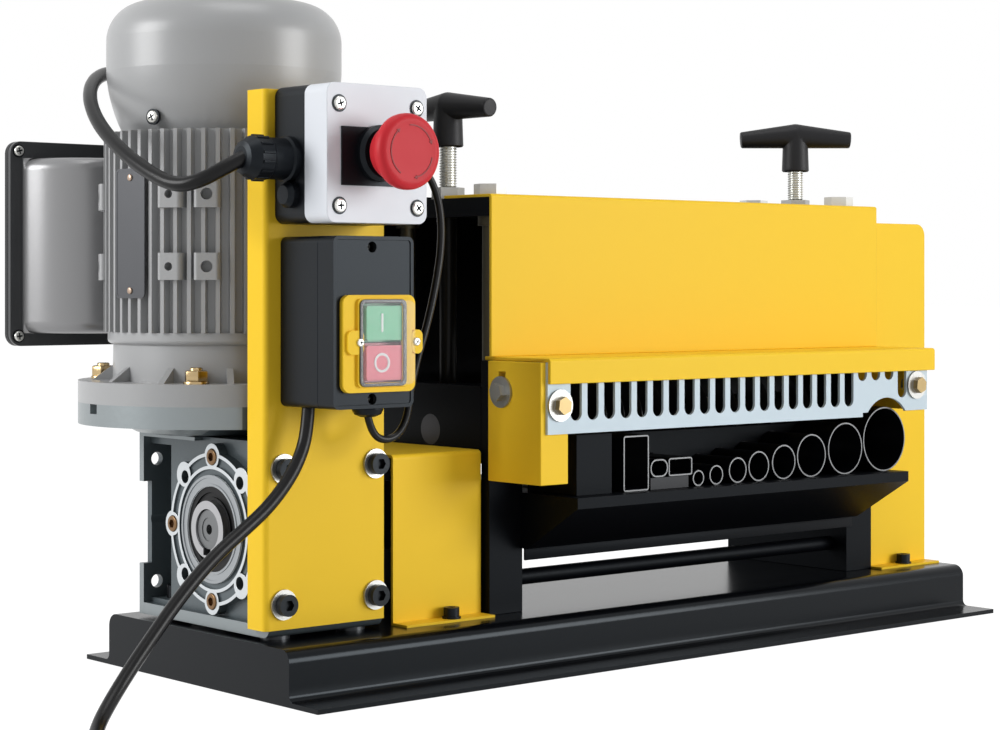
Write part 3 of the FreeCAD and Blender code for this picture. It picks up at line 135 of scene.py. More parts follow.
LEAD_ROUTE = (
    (-69.0, -79.0, 223.5), (-84.0, -76.0, 215.5), (-95.0, -67.5, 208.0), (-101.5, -53.0, 205.5),
    (-104.0, -29.0, 213.5), (-104.0, 4.0, 228.2), (-97.5, 43.0, 248.0), (-85.0, 74.0, 266.5),
    (-63.0, 104.0, 280.7), (-37.0, 125.0, 288.0), (-13.0, 137.0, 284.5), (3.0, 145.0, 270.5),
    (9.0, 149.0, 250.0),
)

LINK_ROUTE = (
    (46.0, -84.0, 222.0), (54.5, -86.0, 218.5), (61.0, -87.5, 209.0), (65.5, -88.0, 193.0),
    (66.0, -88.0, 173.0), (61.5, -88.5, 150.0), (54.5, -89.0, 126.0), (46.0, -89.5, 104.0),
    (40.0, -90.0, 84.0), (38.0, -90.0, 69.0), (31.0, -90.0, 58.5), (20.5, -90.0, 55.5),
    (11.0, -90.0, 60.5), (8.0, -90.0, 71.5),
)


def length(name, text, value):
    return bpy.props.FloatProperty(name=name, description=text, default=value, unit="LENGTH")


def paint(name, text, colour):
    return bpy.props.FloatVectorProperty(
        name=name, description=text, default=(*colour, 1.0), size=4, subtype="COLOR")


class MachineSizes(bpy.types.PropertyGroup):
    """Sizes that a user would change"""

    mains_diameter: length("Mains cord", "Diameter of the mains cord", 0.008)
    lead_diameter: length("Motor lead", "Diameter of the motor lead", 0.0088)
    link_diameter: length("Link lead", "Diameter of the lead between the two switch boxes", 0.0046)
    edge_share: bpy.props.FloatProperty(
        name="Edge round", description="Share of the usual rounding on edges", default=1.0, min=0.1, max=1.5,
        subtype="FACTOR")


class MachineColours(bpy.types.PropertyGroup):
    """Colours that a user would change"""

    yellow: paint("Yellow", "Powder coat of the guards and covers", (0.90, 0.585, 0.030))
    black: paint("Black", "Paint of the base and frame", (0.0022, 0.0025, 0.0035))
    motor: paint("Motor grey", "Paint of the motor", (0.345, 0.35, 0.355))
    gearbox: paint("Gearbox grey", "Paint of the gearbox", (0.085, 0.105, 0.115))
    zinc: paint("Zinc", "Blue zinc plate of the slotted plate", (0.50, 0.585, 0.64))


def sizes():
    return bpy.context.scene.machine_sizes


def add_node(tree, kind, values=None, **settings):
    """Adds a shader node with its settings and then its inputs' values, by name or number"""
    node = tree.nodes.new("ShaderNode" + kind)
    for key, value in settings.items():
        setattr(node, key, value)
    for key, value in (values or {}).items():
        node.inputs[key].default_value = value
    return node


def wire(tree, *links):
    """Makes links, each of which is given as (node, output, node, input)"""
    for source, output, target, entry in links:
        tree.links.new(source.outputs[output], target.inputs[entry])


def new_group(name, inputs, output_kinds):
    """Starts a node group and returns it with its input node and output node"""
    group = bpy.data.node_groups.new(name, "ShaderNodeTree")
    for label, value in inputs.items():
        kind = "NodeSocketFloat" if isinstance(value, float) else "NodeSocketVector"
        socket = group.interface.new_socket(label, in_out="INPUT", socket_type=kind)
        socket.default_value = value
    for label, kind in output_kinds.items():
        group.interface.new_socket(label, in_out="OUTPUT", socket_type=kind)
    return group, group.nodes.new("NodeGroupInput"), group.nodes.new("NodeGroupOutput")


def grain_group():
    """Fine grain that lifts the surface and varies its roughness"""
    name = "Surface grain"
    if name in bpy.data.node_groups:
        return bpy.data.node_groups[name]
    group, inside, outside = new_group(
        name, {"Scale": 300.0, "Depth": 0.1, "Roughness": 0.5, "Spread": 0.05},
        {"Normal": "NodeSocketVector", "Roughness": "NodeSocketFloat"})
    place = add_node(group, "TexCoord")
    noise = add_node(group, "TexNoise", {"Detail": 3.0})
    bump = add_node(group, "Bump", {"Distance": 0.0004})
    centre = add_node(group, "Math", {1: 0.5}, operation="SUBTRACT")
    spread = add_node(group, "Math", operation="MULTIPLY_ADD")
    wire(
        group,
        (place, "Object", noise, "Vector"), (inside, "Scale", noise, "Scale"),
        (noise, "Fac", bump, "Height"), (inside, "Depth", bump, "Strength"),
        (noise, "Fac", centre, 0), (centre, 0, spread, 0), (inside, "Spread", spread, 1),
        (inside, "Roughness", spread, 2), (bump, "Normal", outside, "Normal"),
        (spread, 0, outside, "Roughness"),
    )
    return group


def zone_group():
    """Mask that rises from 0 to 1 between two places along an axis"""
    name = "Zone along an axis"
    if name in bpy.data.node_groups:
        return bpy.data.node_groups[name]
    group, inside, outside = new_group(
        name, {"Axis": (0.0, 0.0, 1.0), "Low": 0.0, "High": 0.001}, {"Mask": "NodeSocketFloat"})
    place = add_node(group, "TexCoord")
    along_axis = add_node(group, "VectorMath", operation="DOT_PRODUCT")
    span = add_node(group, "MapRange", clamp=True)
    wire(
        group,
        (place, "Object", along_axis, 0), (inside, "Axis", along_axis, 1),
        (along_axis, "Value", span, "Value"), (inside, "Low", span, "From Min"),
        (inside, "High", span, "From Max"), (span, "Result", outside, "Mask"),
    )
    return group


BLUISH = (0.80, 0.91, 1.0, 1.0)


def material(name, colour, roughness, metallic=0.0, specular=0.5, grain=300.0, depth=0.1, spread=0.06,
             alpha=1.0, tint=(1.0, 1.0, 1.0, 1.0)):
    made = bpy.data.materials.new(name)
    made.use_nodes = True
    tree = made.node_tree
    shader = tree.nodes["Principled BSDF"]
    shader.inputs["Base Color"].default_value = colour
    shader.inputs["Metallic"].default_value = metallic
    shader.inputs["Specular IOR Level"].default_value = specular
    shader.inputs["Specular Tint"].default_value = tint
    shader.inputs["Alpha"].default_value = alpha
    values = {"Scale": grain, "Depth": depth, "Roughness": roughness, "Spread": spread}
    surface = add_node(tree, "Group", values, node_tree=grain_group())
    wire(tree, (surface, "Normal", shader, "Normal"), (surface, "Roughness", shader, "Roughness"))
    made.diffuse_color = colour
    return made


def add_zone(made, colour, metallic, axis, low, high):
    """Changes a material's colour and metallic value along an axis, between low and high in mm"""
    tree = made.node_tree
    shader = tree.nodes["Principled BSDF"]
    shift = Vector(axis).dot(SHIFT)
    values = {"Axis": axis, "Low": (low + shift) / 1000.0, "High": (high + shift) / 1000.0}
    lane = add_node(tree, "Group", values, node_tree=zone_group())
    was = shader.inputs["Base Color"].default_value
    mix = add_node(tree, "Mix", {6: was, 7: (*colour, 1.0)}, data_type="RGBA")
    plain = shader.inputs["Metallic"].default_value
    blend = add_node(tree, "MapRange", {"To Min": plain, "To Max": metallic})
    wire(
        tree,
        (lane, "Mask", mix, 0), (lane, "Mask", blend, "Value"), (mix, 2, shader, "Base Color"),
        (blend, "Result", shader, "Metallic"),
    )


# Each coat: the material's name, its colour or the name of a user's colour, its roughness and the rest
COATS = {
    "yellow": ("Yellow coat", "yellow", 0.38, dict(specular=0.10, grain=900, depth=0.08)),
    "base": ("Base black", "black", 0.22, dict(specular=0.16, grain=420, depth=0.05, tint=BLUISH)),
    "black": ("Frame black", "black", 0.42, dict(specular=0.07, grain=500, depth=0.12, tint=BLUISH)),
    "tube_end": ("Tube end", (0.17, 0.175, 0.18), 0.38, dict(metallic=0.5, grain=700)),
    "rest": ("Rest block", (0.030, 0.032, 0.036), 0.45, dict(specular=0.2, grain=600)),
    "motor": ("Motor paint", "motor", 0.33, dict(specular=0.55, grain=420)),
    "gearbox": ("Gearbox paint", "gearbox", 0.32, dict(metallic=0.25, grain=260, depth=0.25)),
    "cover": ("Output cover", "gearbox", 0.32, dict(metallic=0.35, depth=0.2)),
    "ring": ("Turned ring", (0.33, 0.35, 0.365), 0.30, dict(metallic=0.6, grain=500)),
    "shell": ("Terminal box", (0.27, 0.27, 0.275), 0.30, dict(metallic=0.40)),
    "lid": ("Terminal lid", (0.010, 0.011, 0.013), 0.40, dict(specular=0.25)),
    "steel": ("Steel", (0.42, 0.42, 0.43), 0.30, dict(metallic=1.0, grain=900, depth=0.08)),
    "shaft_end": ("Shaft end", (0.17, 0.175, 0.18), 0.34, dict(metallic=0.7, grain=700)),
    # Near-black steel for the shafts, coupling, bearings and blades inside the machine, as painted shade for
    # its dark interior
    "dark_steel": ("Steel in painted shade", (0.045, 0.045, 0.05), 0.35, dict(metallic=0.6, grain=900)),
    # Guide posts: near-black below the top plate as painted shade inside the machine; their zone gives the
    # bright steel above
    "shaded_post_steel": ("Guide post in painted shade", (0.085, 0.078, 0.055), 0.45, dict(metallic=0.95, grain=900)),
    "zinc": ("Zinc plate", "zinc", 0.45,
        dict(metallic=0.12, specular=0.08, grain=160, depth=0.05, spread=0.2)),
    "zinc_bright": ("Zinc fastener", (0.62, 0.62, 0.59), 0.28, dict(metallic=0.9, grain=500)),
    "screw_rod": ("Screw rod", (0.62, 0.62, 0.59), 0.30, dict(metallic=0.9, specular=0.1, grain=500)),
    "washer": ("Washer", (0.46, 0.46, 0.44), 0.30, dict(metallic=0.9, grain=500)),
    "bolt": ("Bolt and washer", (0.40, 0.40, 0.385), 0.34, dict(metallic=0.9, grain=500)),
    "gold": ("Gold zinc", (0.46, 0.34, 0.18), 0.22, dict(metallic=1.0, depth=0.05)),
    "brown": ("Brown zinc", (0.20, 0.115, 0.055), 0.30, dict(metallic=0.9, depth=0.05)),
    "copper": ("Rivet", (0.36, 0.27, 0.21), 0.30, dict(metallic=0.95, grain=400)),
    "nameplate": ("Bare plate", (0.060, 0.062, 0.068), 0.36,
        dict(metallic=0.5, grain=220, depth=0.06, spread=0.15)),
    "oxide": ("Black oxide", (0.004, 0.004, 0.005), 0.34, dict(specular=0.22, grain=500, tint=BLUISH)),
    "plastic": ("Black plastic", (0.0055, 0.0065, 0.0085), 0.36,
        dict(specular=0.17, grain=1200, tint=BLUISH)),
    "handle": ("Handle plastic", (0.008, 0.008, 0.0095), 0.46, dict(specular=0.24, grain=900, depth=0.2)),
    "pale": ("Pale plastic", (0.72, 0.75, 0.80), 0.36, dict(specular=0.25, grain=1000, depth=0.04)),
    "red": ("Stop red", (0.56, 0.026, 0.036), 0.42, dict(specular=0.14, grain=900, depth=0.05)),
    "dark_red": ("Arrow red", (0.24, 0.008, 0.012), 0.45, dict(specular=0.3, grain=900)),
    "pink": ("Button red", (0.66, 0.045, 0.10), 0.30, dict(grain=900, depth=0.04)),
    "green": ("Button green", (0.008, 0.40, 0.16), 0.30, dict(grain=900, depth=0.04)),
    "rubber": ("Cord rubber", (0.0045, 0.0045, 0.005), 0.30, dict(specular=0.20, grain=600)),
    "seal": ("Seal rubber", (0.004, 0.004, 0.0045), 0.45, dict(specular=0.2, grain=600)),
    "white": ("Print white", (0.80, 0.82, 0.82), 0.5, dict(grain=600, depth=0.02)),
    "clear": ("Clear membrane", (0.90, 0.93, 0.95), 0.10,
        dict(specular=0.25, alpha=0.09, grain=90, depth=0.05)),
    "smoke": ("Smoked frame", (0.020, 0.022, 0.025), 0.22, dict(specular=0.4, depth=0.03)),
    "brass": ("Pin brass", (0.72, 0.55, 0.26), 0.25, dict(metallic=1.0)),
}

# Coats that change along an axis: the new colour, its metallic value, the axis and the two levels
ZONES = {
    "gearbox": ((0.26, 0.29, 0.30), 0.4, (-1, 0, 0), COVER_FACE - 0.8, COVER_FACE - 0.6),
    "cover": ((0.60, 0.63, 0.65), 0.75, (-1, 0, 0), COVER_FACE - 0.4, COVER_FACE - 0.1),
    "shell": ((0.055, 0.057, 0.06), 0.3, (0, 1, 0), TERMINAL_LID_Y - 0.8, TERMINAL_LID_Y - 0.3),
    # Painted shade: the guide posts stay near-black below Z 206 inside the machine and turn bright steel
    # above Z 207
    "shaded_post_steel": ((0.60, 0.60, 0.58), 0.9, (0, 0, 1), 206.0, 207.0),
    # Painted shade: the tee screws' rods turn near-black below Z 193, where they run down into the machine
    "screw_rod": ((0.006, 0.006, 0.006), 0.1, (0, 0, -1), -194.0, -193.0),
    # Painted shade: washers below Z -50, in the gap under the gearbox's feet, are near-black
    "washer": ((0.05, 0.055, 0.06), 0.5, (0, 0, -1), 49.0, 50.0),
    "bolt": ((0.27, 0.20, 0.095), 0.95, (0, -1, 0), 114.3, 114.6),
}


def finish_of(kind):
    """The material of a kind of finish, made the first time that it is asked for"""
    name, colour, roughness, rest = COATS[kind]
    made = bpy.data.materials.get(name)
    if made:
        return made
    if isinstance(colour, str):
        colour = getattr(bpy.context.scene.machine_colours, colour)
    made = material(name, (*colour[:3], 1.0), roughness, **rest)
    if kind in ZONES:
        add_zone(made, *ZONES[kind])
    return made


# The frame's pieces of each kind of finish
PIECES = {
    "base": "base_tray",
    "gearbox": "gearbox_housing input_flange",
    "cover": "output_covers",
    "gold": "gear_motor_bolts",
    "seal": "output_seals",
    "motor": "motor_end_shield motor_body fan_cover",
    "plastic": (
        "cooling_fan estop_rear_housing estop_collar estop_plunger switch_modules cable_glands "
        "switch_rear_housing switch_cover"
    ),
    "steel": "rotor_shaft worm worm_wheel feed_roller",
    # These steel parts inside the machine take near-black steel as painted shade
    "dark_steel": "drive_shaft shaft_coupling shaft_bearings blade_shaft blade_stack",
    "yellow": "post switch_bezel coupling_cover guard_hood front_shelf plate_brackets right_end_cover",
    "oxide": "black_socket_bolts",
    "washer": "washers",
    "pale": "estop_lid",
    "red": "estop_mushroom",
    "zinc_bright": "small_screws",
    "green": "green_button",
    "pink": "red_button",
    "black": (
        "side_frames top_plate bearing_blocks rear_guard small_guide_tubes middle_guide_tubes "
        "large_guide_tubes flat_channels feed_tray"
    ),
    # The guide posts' steel is near-black below the top plate as painted shade
    "shaded_post_steel": "guide_posts",
    "handle": "t_screw_left t_screw_right",
    "zinc": "slotted_plate",
    "bolt": "plate_bolts",
    "shell": "terminal_box_shell",
    "lid": "terminal_box_lid",
    "rubber": "fixed_leads mains_cord mains_cord_coil mains_plug",
}
FINISHES = {name: kind for kind, names in PIECES.items() for name in names.split()}

HOME = Matrix.Translation(SHIFT / 1000.0)
AWAY = HOME.inverted()


def clear_selection():
    for thing in bpy.context.selected_objects:
        thing.select_set(False)


# Edges that turn by less than this stay smooth on the frame's pieces, in degrees
SMOOTH_ANGLE = 28.0


def hold(made):
    """Selects one object alone and makes it active"""
    clear_selection()
    made.select_set(True)
    bpy.context.view_layer.objects.active = made


def settle(made):
    """Moves an object's place and turn into its mesh"""
    hold(made)
    bpy.ops.object.transform_apply(location=True, rotation=True, scale=True)


def coat(made, *kinds):
    """Gives a piece one material slot for each kind of finish"""
    made.data.materials.clear()
    for kind in kinds:
        made.data.materials.append(finish_of(kind))


def dress(made, name, kind, body="machine", angle=35.0):
    """Names a new piece, shades it unless angle is 0, gives it its finish and puts it on its body"""
    made.name = name
    made.data.name = name
    settle(made)
    if angle:
        bpy.ops.object.shade_smooth_by_angle(angle=radians(angle))
    coat(made, kind)
    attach(made, body)
    return made


def modify(made, name, kind, **settings):
    """Adds a modifier with its settings and applies it"""
    bpy.context.view_layer.objects.active = made
    modifier = made.modifiers.new(name, kind)
    for key, value in settings.items():
        setattr(modifier, key, value)
    bpy.ops.object.modifier_apply(modifier=modifier.name)


def bevel(made, width, segments=2, angle=30.0, harden=False):
    modify(made, "Edge round", "BEVEL", width=width, segments=segments, limit_method="ANGLE",
           angle_limit=radians(angle), harden_normals=harden)


def ease(made, width, segments=2):
    """Softens a flat-sided piece and keeps the shading of its flats even"""
    hold(made)
    bpy.ops.object.shade_smooth_by_angle(angle=radians(SMOOTH_ANGLE))
    bevel(made, width / 1000.0 * sizes().edge_share, segments, 40.0, True)
    modify(made, "Even flats", "WEIGHTED_NORMAL", keep_sharp=True)
    return made


def slab(x0, x1, y0, y1, z0, z1):
    centre = row((x0 + x1) / 2, (y0 + y1) / 2, (z0 + z1) / 2)
    size = Vector((x1 - x0, y1 - y0, z1 - z0)) / 1000.0
    bpy.ops.mesh.primitive_cube_add(size=1.0, location=centre, scale=size)
    made = bpy.context.object
    settle(made)
    return made


def drum(radius, depth, x, y, z, axis="Z", sides=48, top=None):
    """Adds a cylinder about its middle, or a cone if its top has another radius"""
    turn = {"X": (0, pi / 2, 0), "Y": (-pi / 2, 0, 0), "Z": (0, 0, 0)}[axis]
    top = radius if top is None else top
    bpy.ops.mesh.primitive_cone_add(
        vertices=sides, radius1=radius / 1000, radius2=top / 1000, depth=depth / 1000,
        location=row(x, y, z), rotation=turn)
    made = bpy.context.object
    settle(made)
    return made


def open_edit(made, kind="FACE"):
    """Opens a piece for editing with everything selected"""
    hold(made)
    bpy.ops.object.mode_set(mode="EDIT")
    bpy.ops.mesh.select_mode(type=kind)
    bpy.ops.mesh.select_all(action="SELECT")


def close_edit():
    bpy.ops.object.mode_set(mode="OBJECT")


def pick(made, test, kind="FACE"):
    """Opens a piece for editing with the faces or edges selected that pass the test"""
    open_edit(made, kind)
    bpy.ops.mesh.select_all(action="DESELECT")
    close_edit()
    mesh = made.data
    if kind == "FACE":
        found = [face for face in mesh.polygons if test(mm(face.center), face.normal)]
    else:
        found = [edge for edge in mesh.edges if test(*[mm(mesh.vertices[v].co) for v in edge.vertices])]
    if not found:
        raise RuntimeError("nothing to shape on " + made.name)
    for part in found:
        part.select = True
    bpy.ops.object.mode_set(mode="EDIT")


def facing(axis, way=1.0):
    """A test of faces for pick(), as along() and at_level() are of edges"""
    k = "xyz".index(axis)
    return lambda centre, normal: normal[k] * way > 0.99


def along(axis):
    k = "xyz".index(axis)
    return lambda a, b: abs(b[k] - a[k]) > 0.999 * (b - a).length


def at_level(axis, level):
    k = "xyz".index(axis)
    return lambda a, b: abs(a[k] - level) < 0.02 and abs(b[k] - level) < 0.02


def round_edges(made, test, width, segments=3):
    """Rounds the edges that pass the test"""
    pick(made, test, "EDGE")
    bpy.ops.mesh.bevel(offset=width / 1000.0, segments=segments, affect="EDGES")
    close_edit()
    return made


def inset(thickness):
    bpy.ops.mesh.inset(thickness=thickness / 1000.0)


def extrude(x, y, z):
    bpy.ops.mesh.extrude_region_move(TRANSFORM_OT_translate={"value": (x / 1000.0, y / 1000.0, z / 1000.0)})


def sink(made, axis, way, margin, depth):
    """Insets the face that looks that way along the axis and pushes it in"""
    pick(made, facing(axis, way))
    inset(margin)
    extrude(*[-way * depth if name == axis else 0 for name in "xyz"])
    close_edit()


def tidy_shell(made):
    """Joins meeting points and turns the faces outward"""
    open_edit(made)
    bpy.ops.mesh.remove_doubles(threshold=0.000001)
    bpy.ops.mesh.normals_make_consistent(inside=False)
    close_edit()
    return made


def carry(made, turn=None, to=(0.0, 0.0, 0.0)):
    """Turns a piece's mesh about the output axis's zero point and then moves it, in mm"""
    move = Matrix.Translation(Vector(to) / 1000.0)
    made.data.transform(HOME @ move @ (turn or Matrix()) @ AWAY)
    return made


def gather(pieces):
    clear_selection()
    for piece in pieces:
        piece.select_set(True)
    bpy.context.view_layer.objects.active = pieces[0]
    bpy.ops.object.join()
    return bpy.context.object


def facing_turn(outward, spin=0.0):
    """The turn that points a piece's top outward, after a spin about its own axis"""
    turn = Vector((0, 0, 1)).rotation_difference(Vector(outward)).to_matrix().to_4x4()
    return turn @ Matrix.Rotation(radians(spin), 4, "Z")


def cut_out(made, *tools):
    """Cuts the tools' shapes out of a piece and removes the tools"""
    for tool in tools:
        modify(made, "Cut", "BOOLEAN", operation="DIFFERENCE", solver="EXACT", object=tool)
        bpy.data.objects.remove(tool, do_unlink=True)
    return made


def merged_copy(name):
    """Copies a node of the frame with its loose triangles merged into whole faces"""
    made = bpy.data.objects.new(name + "_eased", NODES[name].data.copy())
    bpy.context.collection.objects.link(made)
    open_edit(made)
    bpy.ops.mesh.remove_doubles(threshold=0.000002)
    bpy.ops.mesh.dissolve_limited(angle_limit=radians(0.3))
    close_edit()
    return made


def ring_of(points):
    """Adds a closed ring of edges through points, in mm from the world's zero point"""
    bpy.ops.mesh.primitive_circle_add(
        vertices=len(points), radius=0.001, fill_type="NOTHING", location=(0, 0, 0))
    made = bpy.context.object
    for spot, point in zip(made.data.vertices, points):
        spot.co = Vector(point) / 1000.0
    return made


def arc_bar(points, sweep, steps):
    """Spins a ring of four points about the Y axis into a closed curved bar"""
    made = ring_of(points)
    open_edit(made, "VERT")
    bpy.ops.mesh.spin(steps=steps, angle=radians(sweep), center=(0, 0, 0), axis=(0, 1, 0))
    bpy.ops.mesh.select_all(action="SELECT")
    bpy.ops.mesh.fill_holes(sides=4)
    close_edit()
    made.data.transform(HOME)
    return tidy_shell(made)


def cord_curve(name, points, diameter):
    """Adds a round cord along a smooth line through its points"""
    bpy.ops.curve.primitive_nurbs_path_add(location=(0, 0, 0))
    made = bpy.context.object
    made.name = name
    curve = made.data
    curve.splines.clear()
    spline = curve.splines.new("NURBS")
    spline.points.add(len(points) - 1)
    for spot, point in zip(spline.points, points):
        spot.co = (*point, 1.0)
    spline.order_u = 3
    spline.use_endpoint_u = True
    spline.resolution_u = 6
    curve.dimensions = "3D"
    curve.bevel_depth = diameter / 2.0
    curve.bevel_resolution = 6
    curve.use_fill_caps = True
    return made


def coil_point(u, widen=1.0):
    """The point after u turns of the coil, which winds inward, rises a layer and winds outward again"""
    radius = COIL_OUT - COIL_PITCH * min(u, COIL_TURNS - u)
    radius *= widen
    s = min(1.0, max(0.0, (u - (COIL_TURNS - 0.5) / 2.0) / 0.5))
    rise = s - sin(2 * pi * s) / (2 * pi)
    a = radians(COIL_START) - 2 * pi * u
    return row(COIL_CENTRE[0] + radius * cos(a), COIL_CENTRE[1] + radius * sin(a),
               FLOOR + COIL_RISE + COIL_LAYER * rise)


def level_way(start, end):
    way = end - start
    way.z = 0.0
    return way.normalized()


def beside_motor(radius, degrees, z=0.0):
    """A point round the motor's axis"""
    a = radians(degrees)
    return Vector((radius * cos(a), MOTOR_Y + radius * sin(a), z))


def face_slab(box, y0, y1):
    """A slab of a switch box's front, from its (left, right, low, high)"""
    left, right, low, high = box
    return slab(left, right, y0, y1, low, high)


# Edge rounding of the frame's pieces, in mm
EASED = {
    "guard_hood": 0.5, "rear_guard": 0.5, "front_shelf": 0.5, "plate_brackets": 0.5, "coupling_cover": 0.6,
    "right_end_cover": 0.6, "post": 0.7, "side_frames": 0.6, "top_plate": 0.6, "base_tray": 0.5,
    "feed_tray": 0.4, "switch_bezel": 0.5, "terminal_box_lid": 0.9, "terminal_box_shell": 0.5,
    "gearbox_housing": 0.6, "output_covers": 0.35,
    "estop_lid": 1.2, "estop_rear_housing": 0.6, "switch_rear_housing": 0.6, "slotted_plate": 0.2,
}


class Step:
    """What the machine's operators share"""

    def execute(self, context):
        self.make()
        return {"FINISHED"}


class MACHINE_OT_frame_paint(Step, bpy.types.Operator):
    """Gives every piece of the frame its finish and soft shading"""

    bl_idname = "machine.frame_paint"
    bl_label = "Paint the frame"

    def make(self):
        for name, node in NODES.items():
            coat(node, FINISHES[name])
            hold(node)
            bpy.ops.object.shade_smooth_by_angle(angle=radians(SMOOTH_ANGLE))


class MACHINE_OT_eased_pieces(Step, bpy.types.Operator):
    """Rounds the edges of the folded sheets, castings and housings"""

    bl_idname = "machine.eased_pieces"
    bl_label = "Ease the edges"

    def make(self):
        for name, width in EASED.items():
            made = merged_copy(name)
            if name == "terminal_box_shell":
                ends = [at_level("z", z) for z in TERMINAL_Z]
                round_edges(made, lambda a, b: any(end(a, b) for end in ends), 8.0, 6)
            if name == "gearbox_housing":
                cut_out(made, *[drum(4.2, 9.0, FOOT_HOLE_X, 81.5, z, "Y", 32) for z in FOOT_HOLES])
            ease(made, width)
            coat(made, FINISHES[name])
            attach(made, "machine")
            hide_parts(name)


TUBES = ("small_guide_tubes", "middle_guide_tubes", "large_guide_tubes", "flat_channels")


class MACHINE_OT_guide_tubes(Step, bpy.types.Operator):
    """Gives the guide tubes their bright sawn ends"""

    bl_idname = "machine.guide_tubes"
    bl_label = "Guide tubes"

    def make(self):
        for name in TUBES:
            made = merged_copy(name)
            ease(made, 0.2, 1)
            coat(made, "black", "tube_end", "rest")
            for face in made.data.polygons:
                if face.normal.y < -0.9 and mm(face.center).y < TUBE_FRONT + 0.5:
                    face.material_index = self.slot(mm(face.center))
            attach(made, "machine")
            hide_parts(name)
        hem = slab(*TRAY_X, -62.0, -60.3, -29.0, -20.0)
        bevel(hem, 0.0004, 2)
        dress(hem, "tray_hem", "black")

    def slot(self, centre):
        """The end block stays dark, the rest block is grey and the tubes are bright"""
        if centre.x < END_BLOCK_RIGHT:
            return 0
        if centre.z < REST_TOP and REST_X[0] < centre.x < REST_X[1]:
            return 2
        return 1


class MACHINE_OT_screws(Step, bpy.types.Operator):
    """Adds the cross-head screws and the shallow cups round them, with the cups and the crosses' insides
    near-black as painted shade
    """

    bl_idname = "machine.screws"
    bl_label = "Screws"

    def make(self):
        heads = []
        shade_cups = []
        self.cross_shades = []
        front = (0, -1, 0)
        for k, (x, z) in enumerate(ESTOP_SCREWS):
            heads.append(self.head(4.1, 1.9, (x, BOX_FACE, z), front, 20 + 37 * k))
            shade_cups.append(self.shade_cup(5.1, 0.35, (x, BOX_FACE, z), front))
        for k, (x, z) in enumerate(BEZEL_SCREWS):
            heads.append(self.head(2.4, 1.3, (x, BOX_FACE - 5.5, z), front, 10 + 50 * k))
        for k, (x, z) in enumerate(SWITCH_SCREWS):
            heads.append(self.head(2.9, 1.5, (x, BOX_FACE + 6.5, z), front, 30 * k))
        for degrees in FAN_SCREW_ANGLES:
            out = (cos(radians(degrees)), sin(radians(degrees)), 0)
            spot = beside_motor(FAN_SCREW_R, degrees, FAN_SCREW_Z)
            heads.append(self.head(4.0, 2.6, spot, out, 45))
            shade_cups.append(self.shade_cup(4.9, 1.4, spot, out))
        for k, (x, z) in enumerate(LID_SCREWS):
            heads.append(self.head(3.4, 1.9, (x, TERMINAL_LID_Y, z), front, 15 + 40 * k))
            shade_cups.append(self.shade_cup(4.3, 0.3, (x, TERMINAL_LID_Y, z), front))
        screws = dress(gather(heads), "cross_screws", "zinc_bright")
        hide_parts("small_screws")
        # The cups and the fills in the crosses take black oxide as painted shade
        dress(gather(shade_cups + self.cross_shades), "screw_seats", "oxide")

    def head(self, radius, height, spot, outward, spin):
        """A domed head with a cross cut into it, and a near-black fill inside the cross as painted shade,
        which is kept apart for the dark pieces
        """
        head = drum(radius, height, 0, 0, height / 2, "Z", 32)
        round_edges(head, at_level("z", height), height * 0.55, 3)
        long = radius * 0.62
        thin = radius * 0.16
        for arm in ((long, thin), (thin, long)):
            cut_out(head, slab(-arm[0], arm[0], -arm[1], arm[1], height * 0.35, height + 1))
            x = arm[0] - 0.02
            y = arm[1] - 0.02
            cross_shade = slab(-x, x, -y, y, height * 0.3, height * 0.72)
            self.cross_shades.append(carry(cross_shade, facing_turn(outward, spin), spot))
        return carry(head, facing_turn(outward, spin), spot)

    def shade_cup(self, radius, height, spot, outward):
        """A shallow cup round a head, near-black as painted shade in its seat"""
        shade_cup = drum(radius, height + 0.5, 0, 0, (height - 0.5) / 2, "Z", 40)
        sink(shade_cup, "z", 1, radius * 0.12, height * 0.8)
        return carry(shade_cup, facing_turn(outward), spot)


class MACHINE_OT_gear_screws(Step, bpy.types.Operator):
    """Models the socket screws of the output covers and the bolts of the motor flange"""

    bl_idname = "machine.gear_screws"
    bl_label = "Gearbox screws"

    def make(self):
        screws = []
        for side in (-1, 1):
            for k in range(4):
                a = radians(90 * k)
                spot = ((COVER_FACE - 3.5) * side, COVER_BOLT_R * cos(a), COVER_BOLT_R * sin(a))
                screws.append(carry(self.socket_screw(), facing_turn((side, 0, 0), 15 * k), spot))
        screws = dress(gather(screws), "cover_screws", "brown")
        spots = [beside_motor(FLANGE_BOLT_R, 44 + 90 * k) for k in range(4)]
        bolts = [carry(self.flange_bolt(17 * k), None, spot) for k, spot in enumerate(spots)]
        dress(gather(bolts), "flange_bolts", "gold")
        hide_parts("gear_motor_bolts")

    def socket_screw(self):
        screw = drum(5.0, 4.4, 0, 0, 2.2, "Z", 36)
        round_edges(screw, at_level("z", 4.4), 0.6, 3)
        return cut_out(screw, drum(2.9, 4.0, 0, 0, 4.2, "Z", 6))

    def flange_bolt(self, spin):
        """A washer, hex head and shank that stand in the flange's top"""
        top = FLANGE_TOP + 1.6
        washer = drum(7.9, 1.6, 0, 0, FLANGE_TOP + 0.8, "Z", 40)
        round_edges(washer, at_level("z", top), 0.5, 2)
        head = drum(7.5, 6.6, 0, 0, top + 3.3, "Z", 6)
        carry(head, Matrix.Rotation(radians(spin), 4, "Z"))
        round_edges(head, at_level("z", top + 6.6), 1.1, 3)
        bevel(head, 0.0003, 2, 40.0)
        shank = drum(4.0, 37.0, 0, 0, FLANGE_TOP - 8.5, "Z", 32)
        round_edges(shank, at_level("z", FLANGE_TOP + 10.0), 1.0, 3)
        return gather([washer, head, shank])


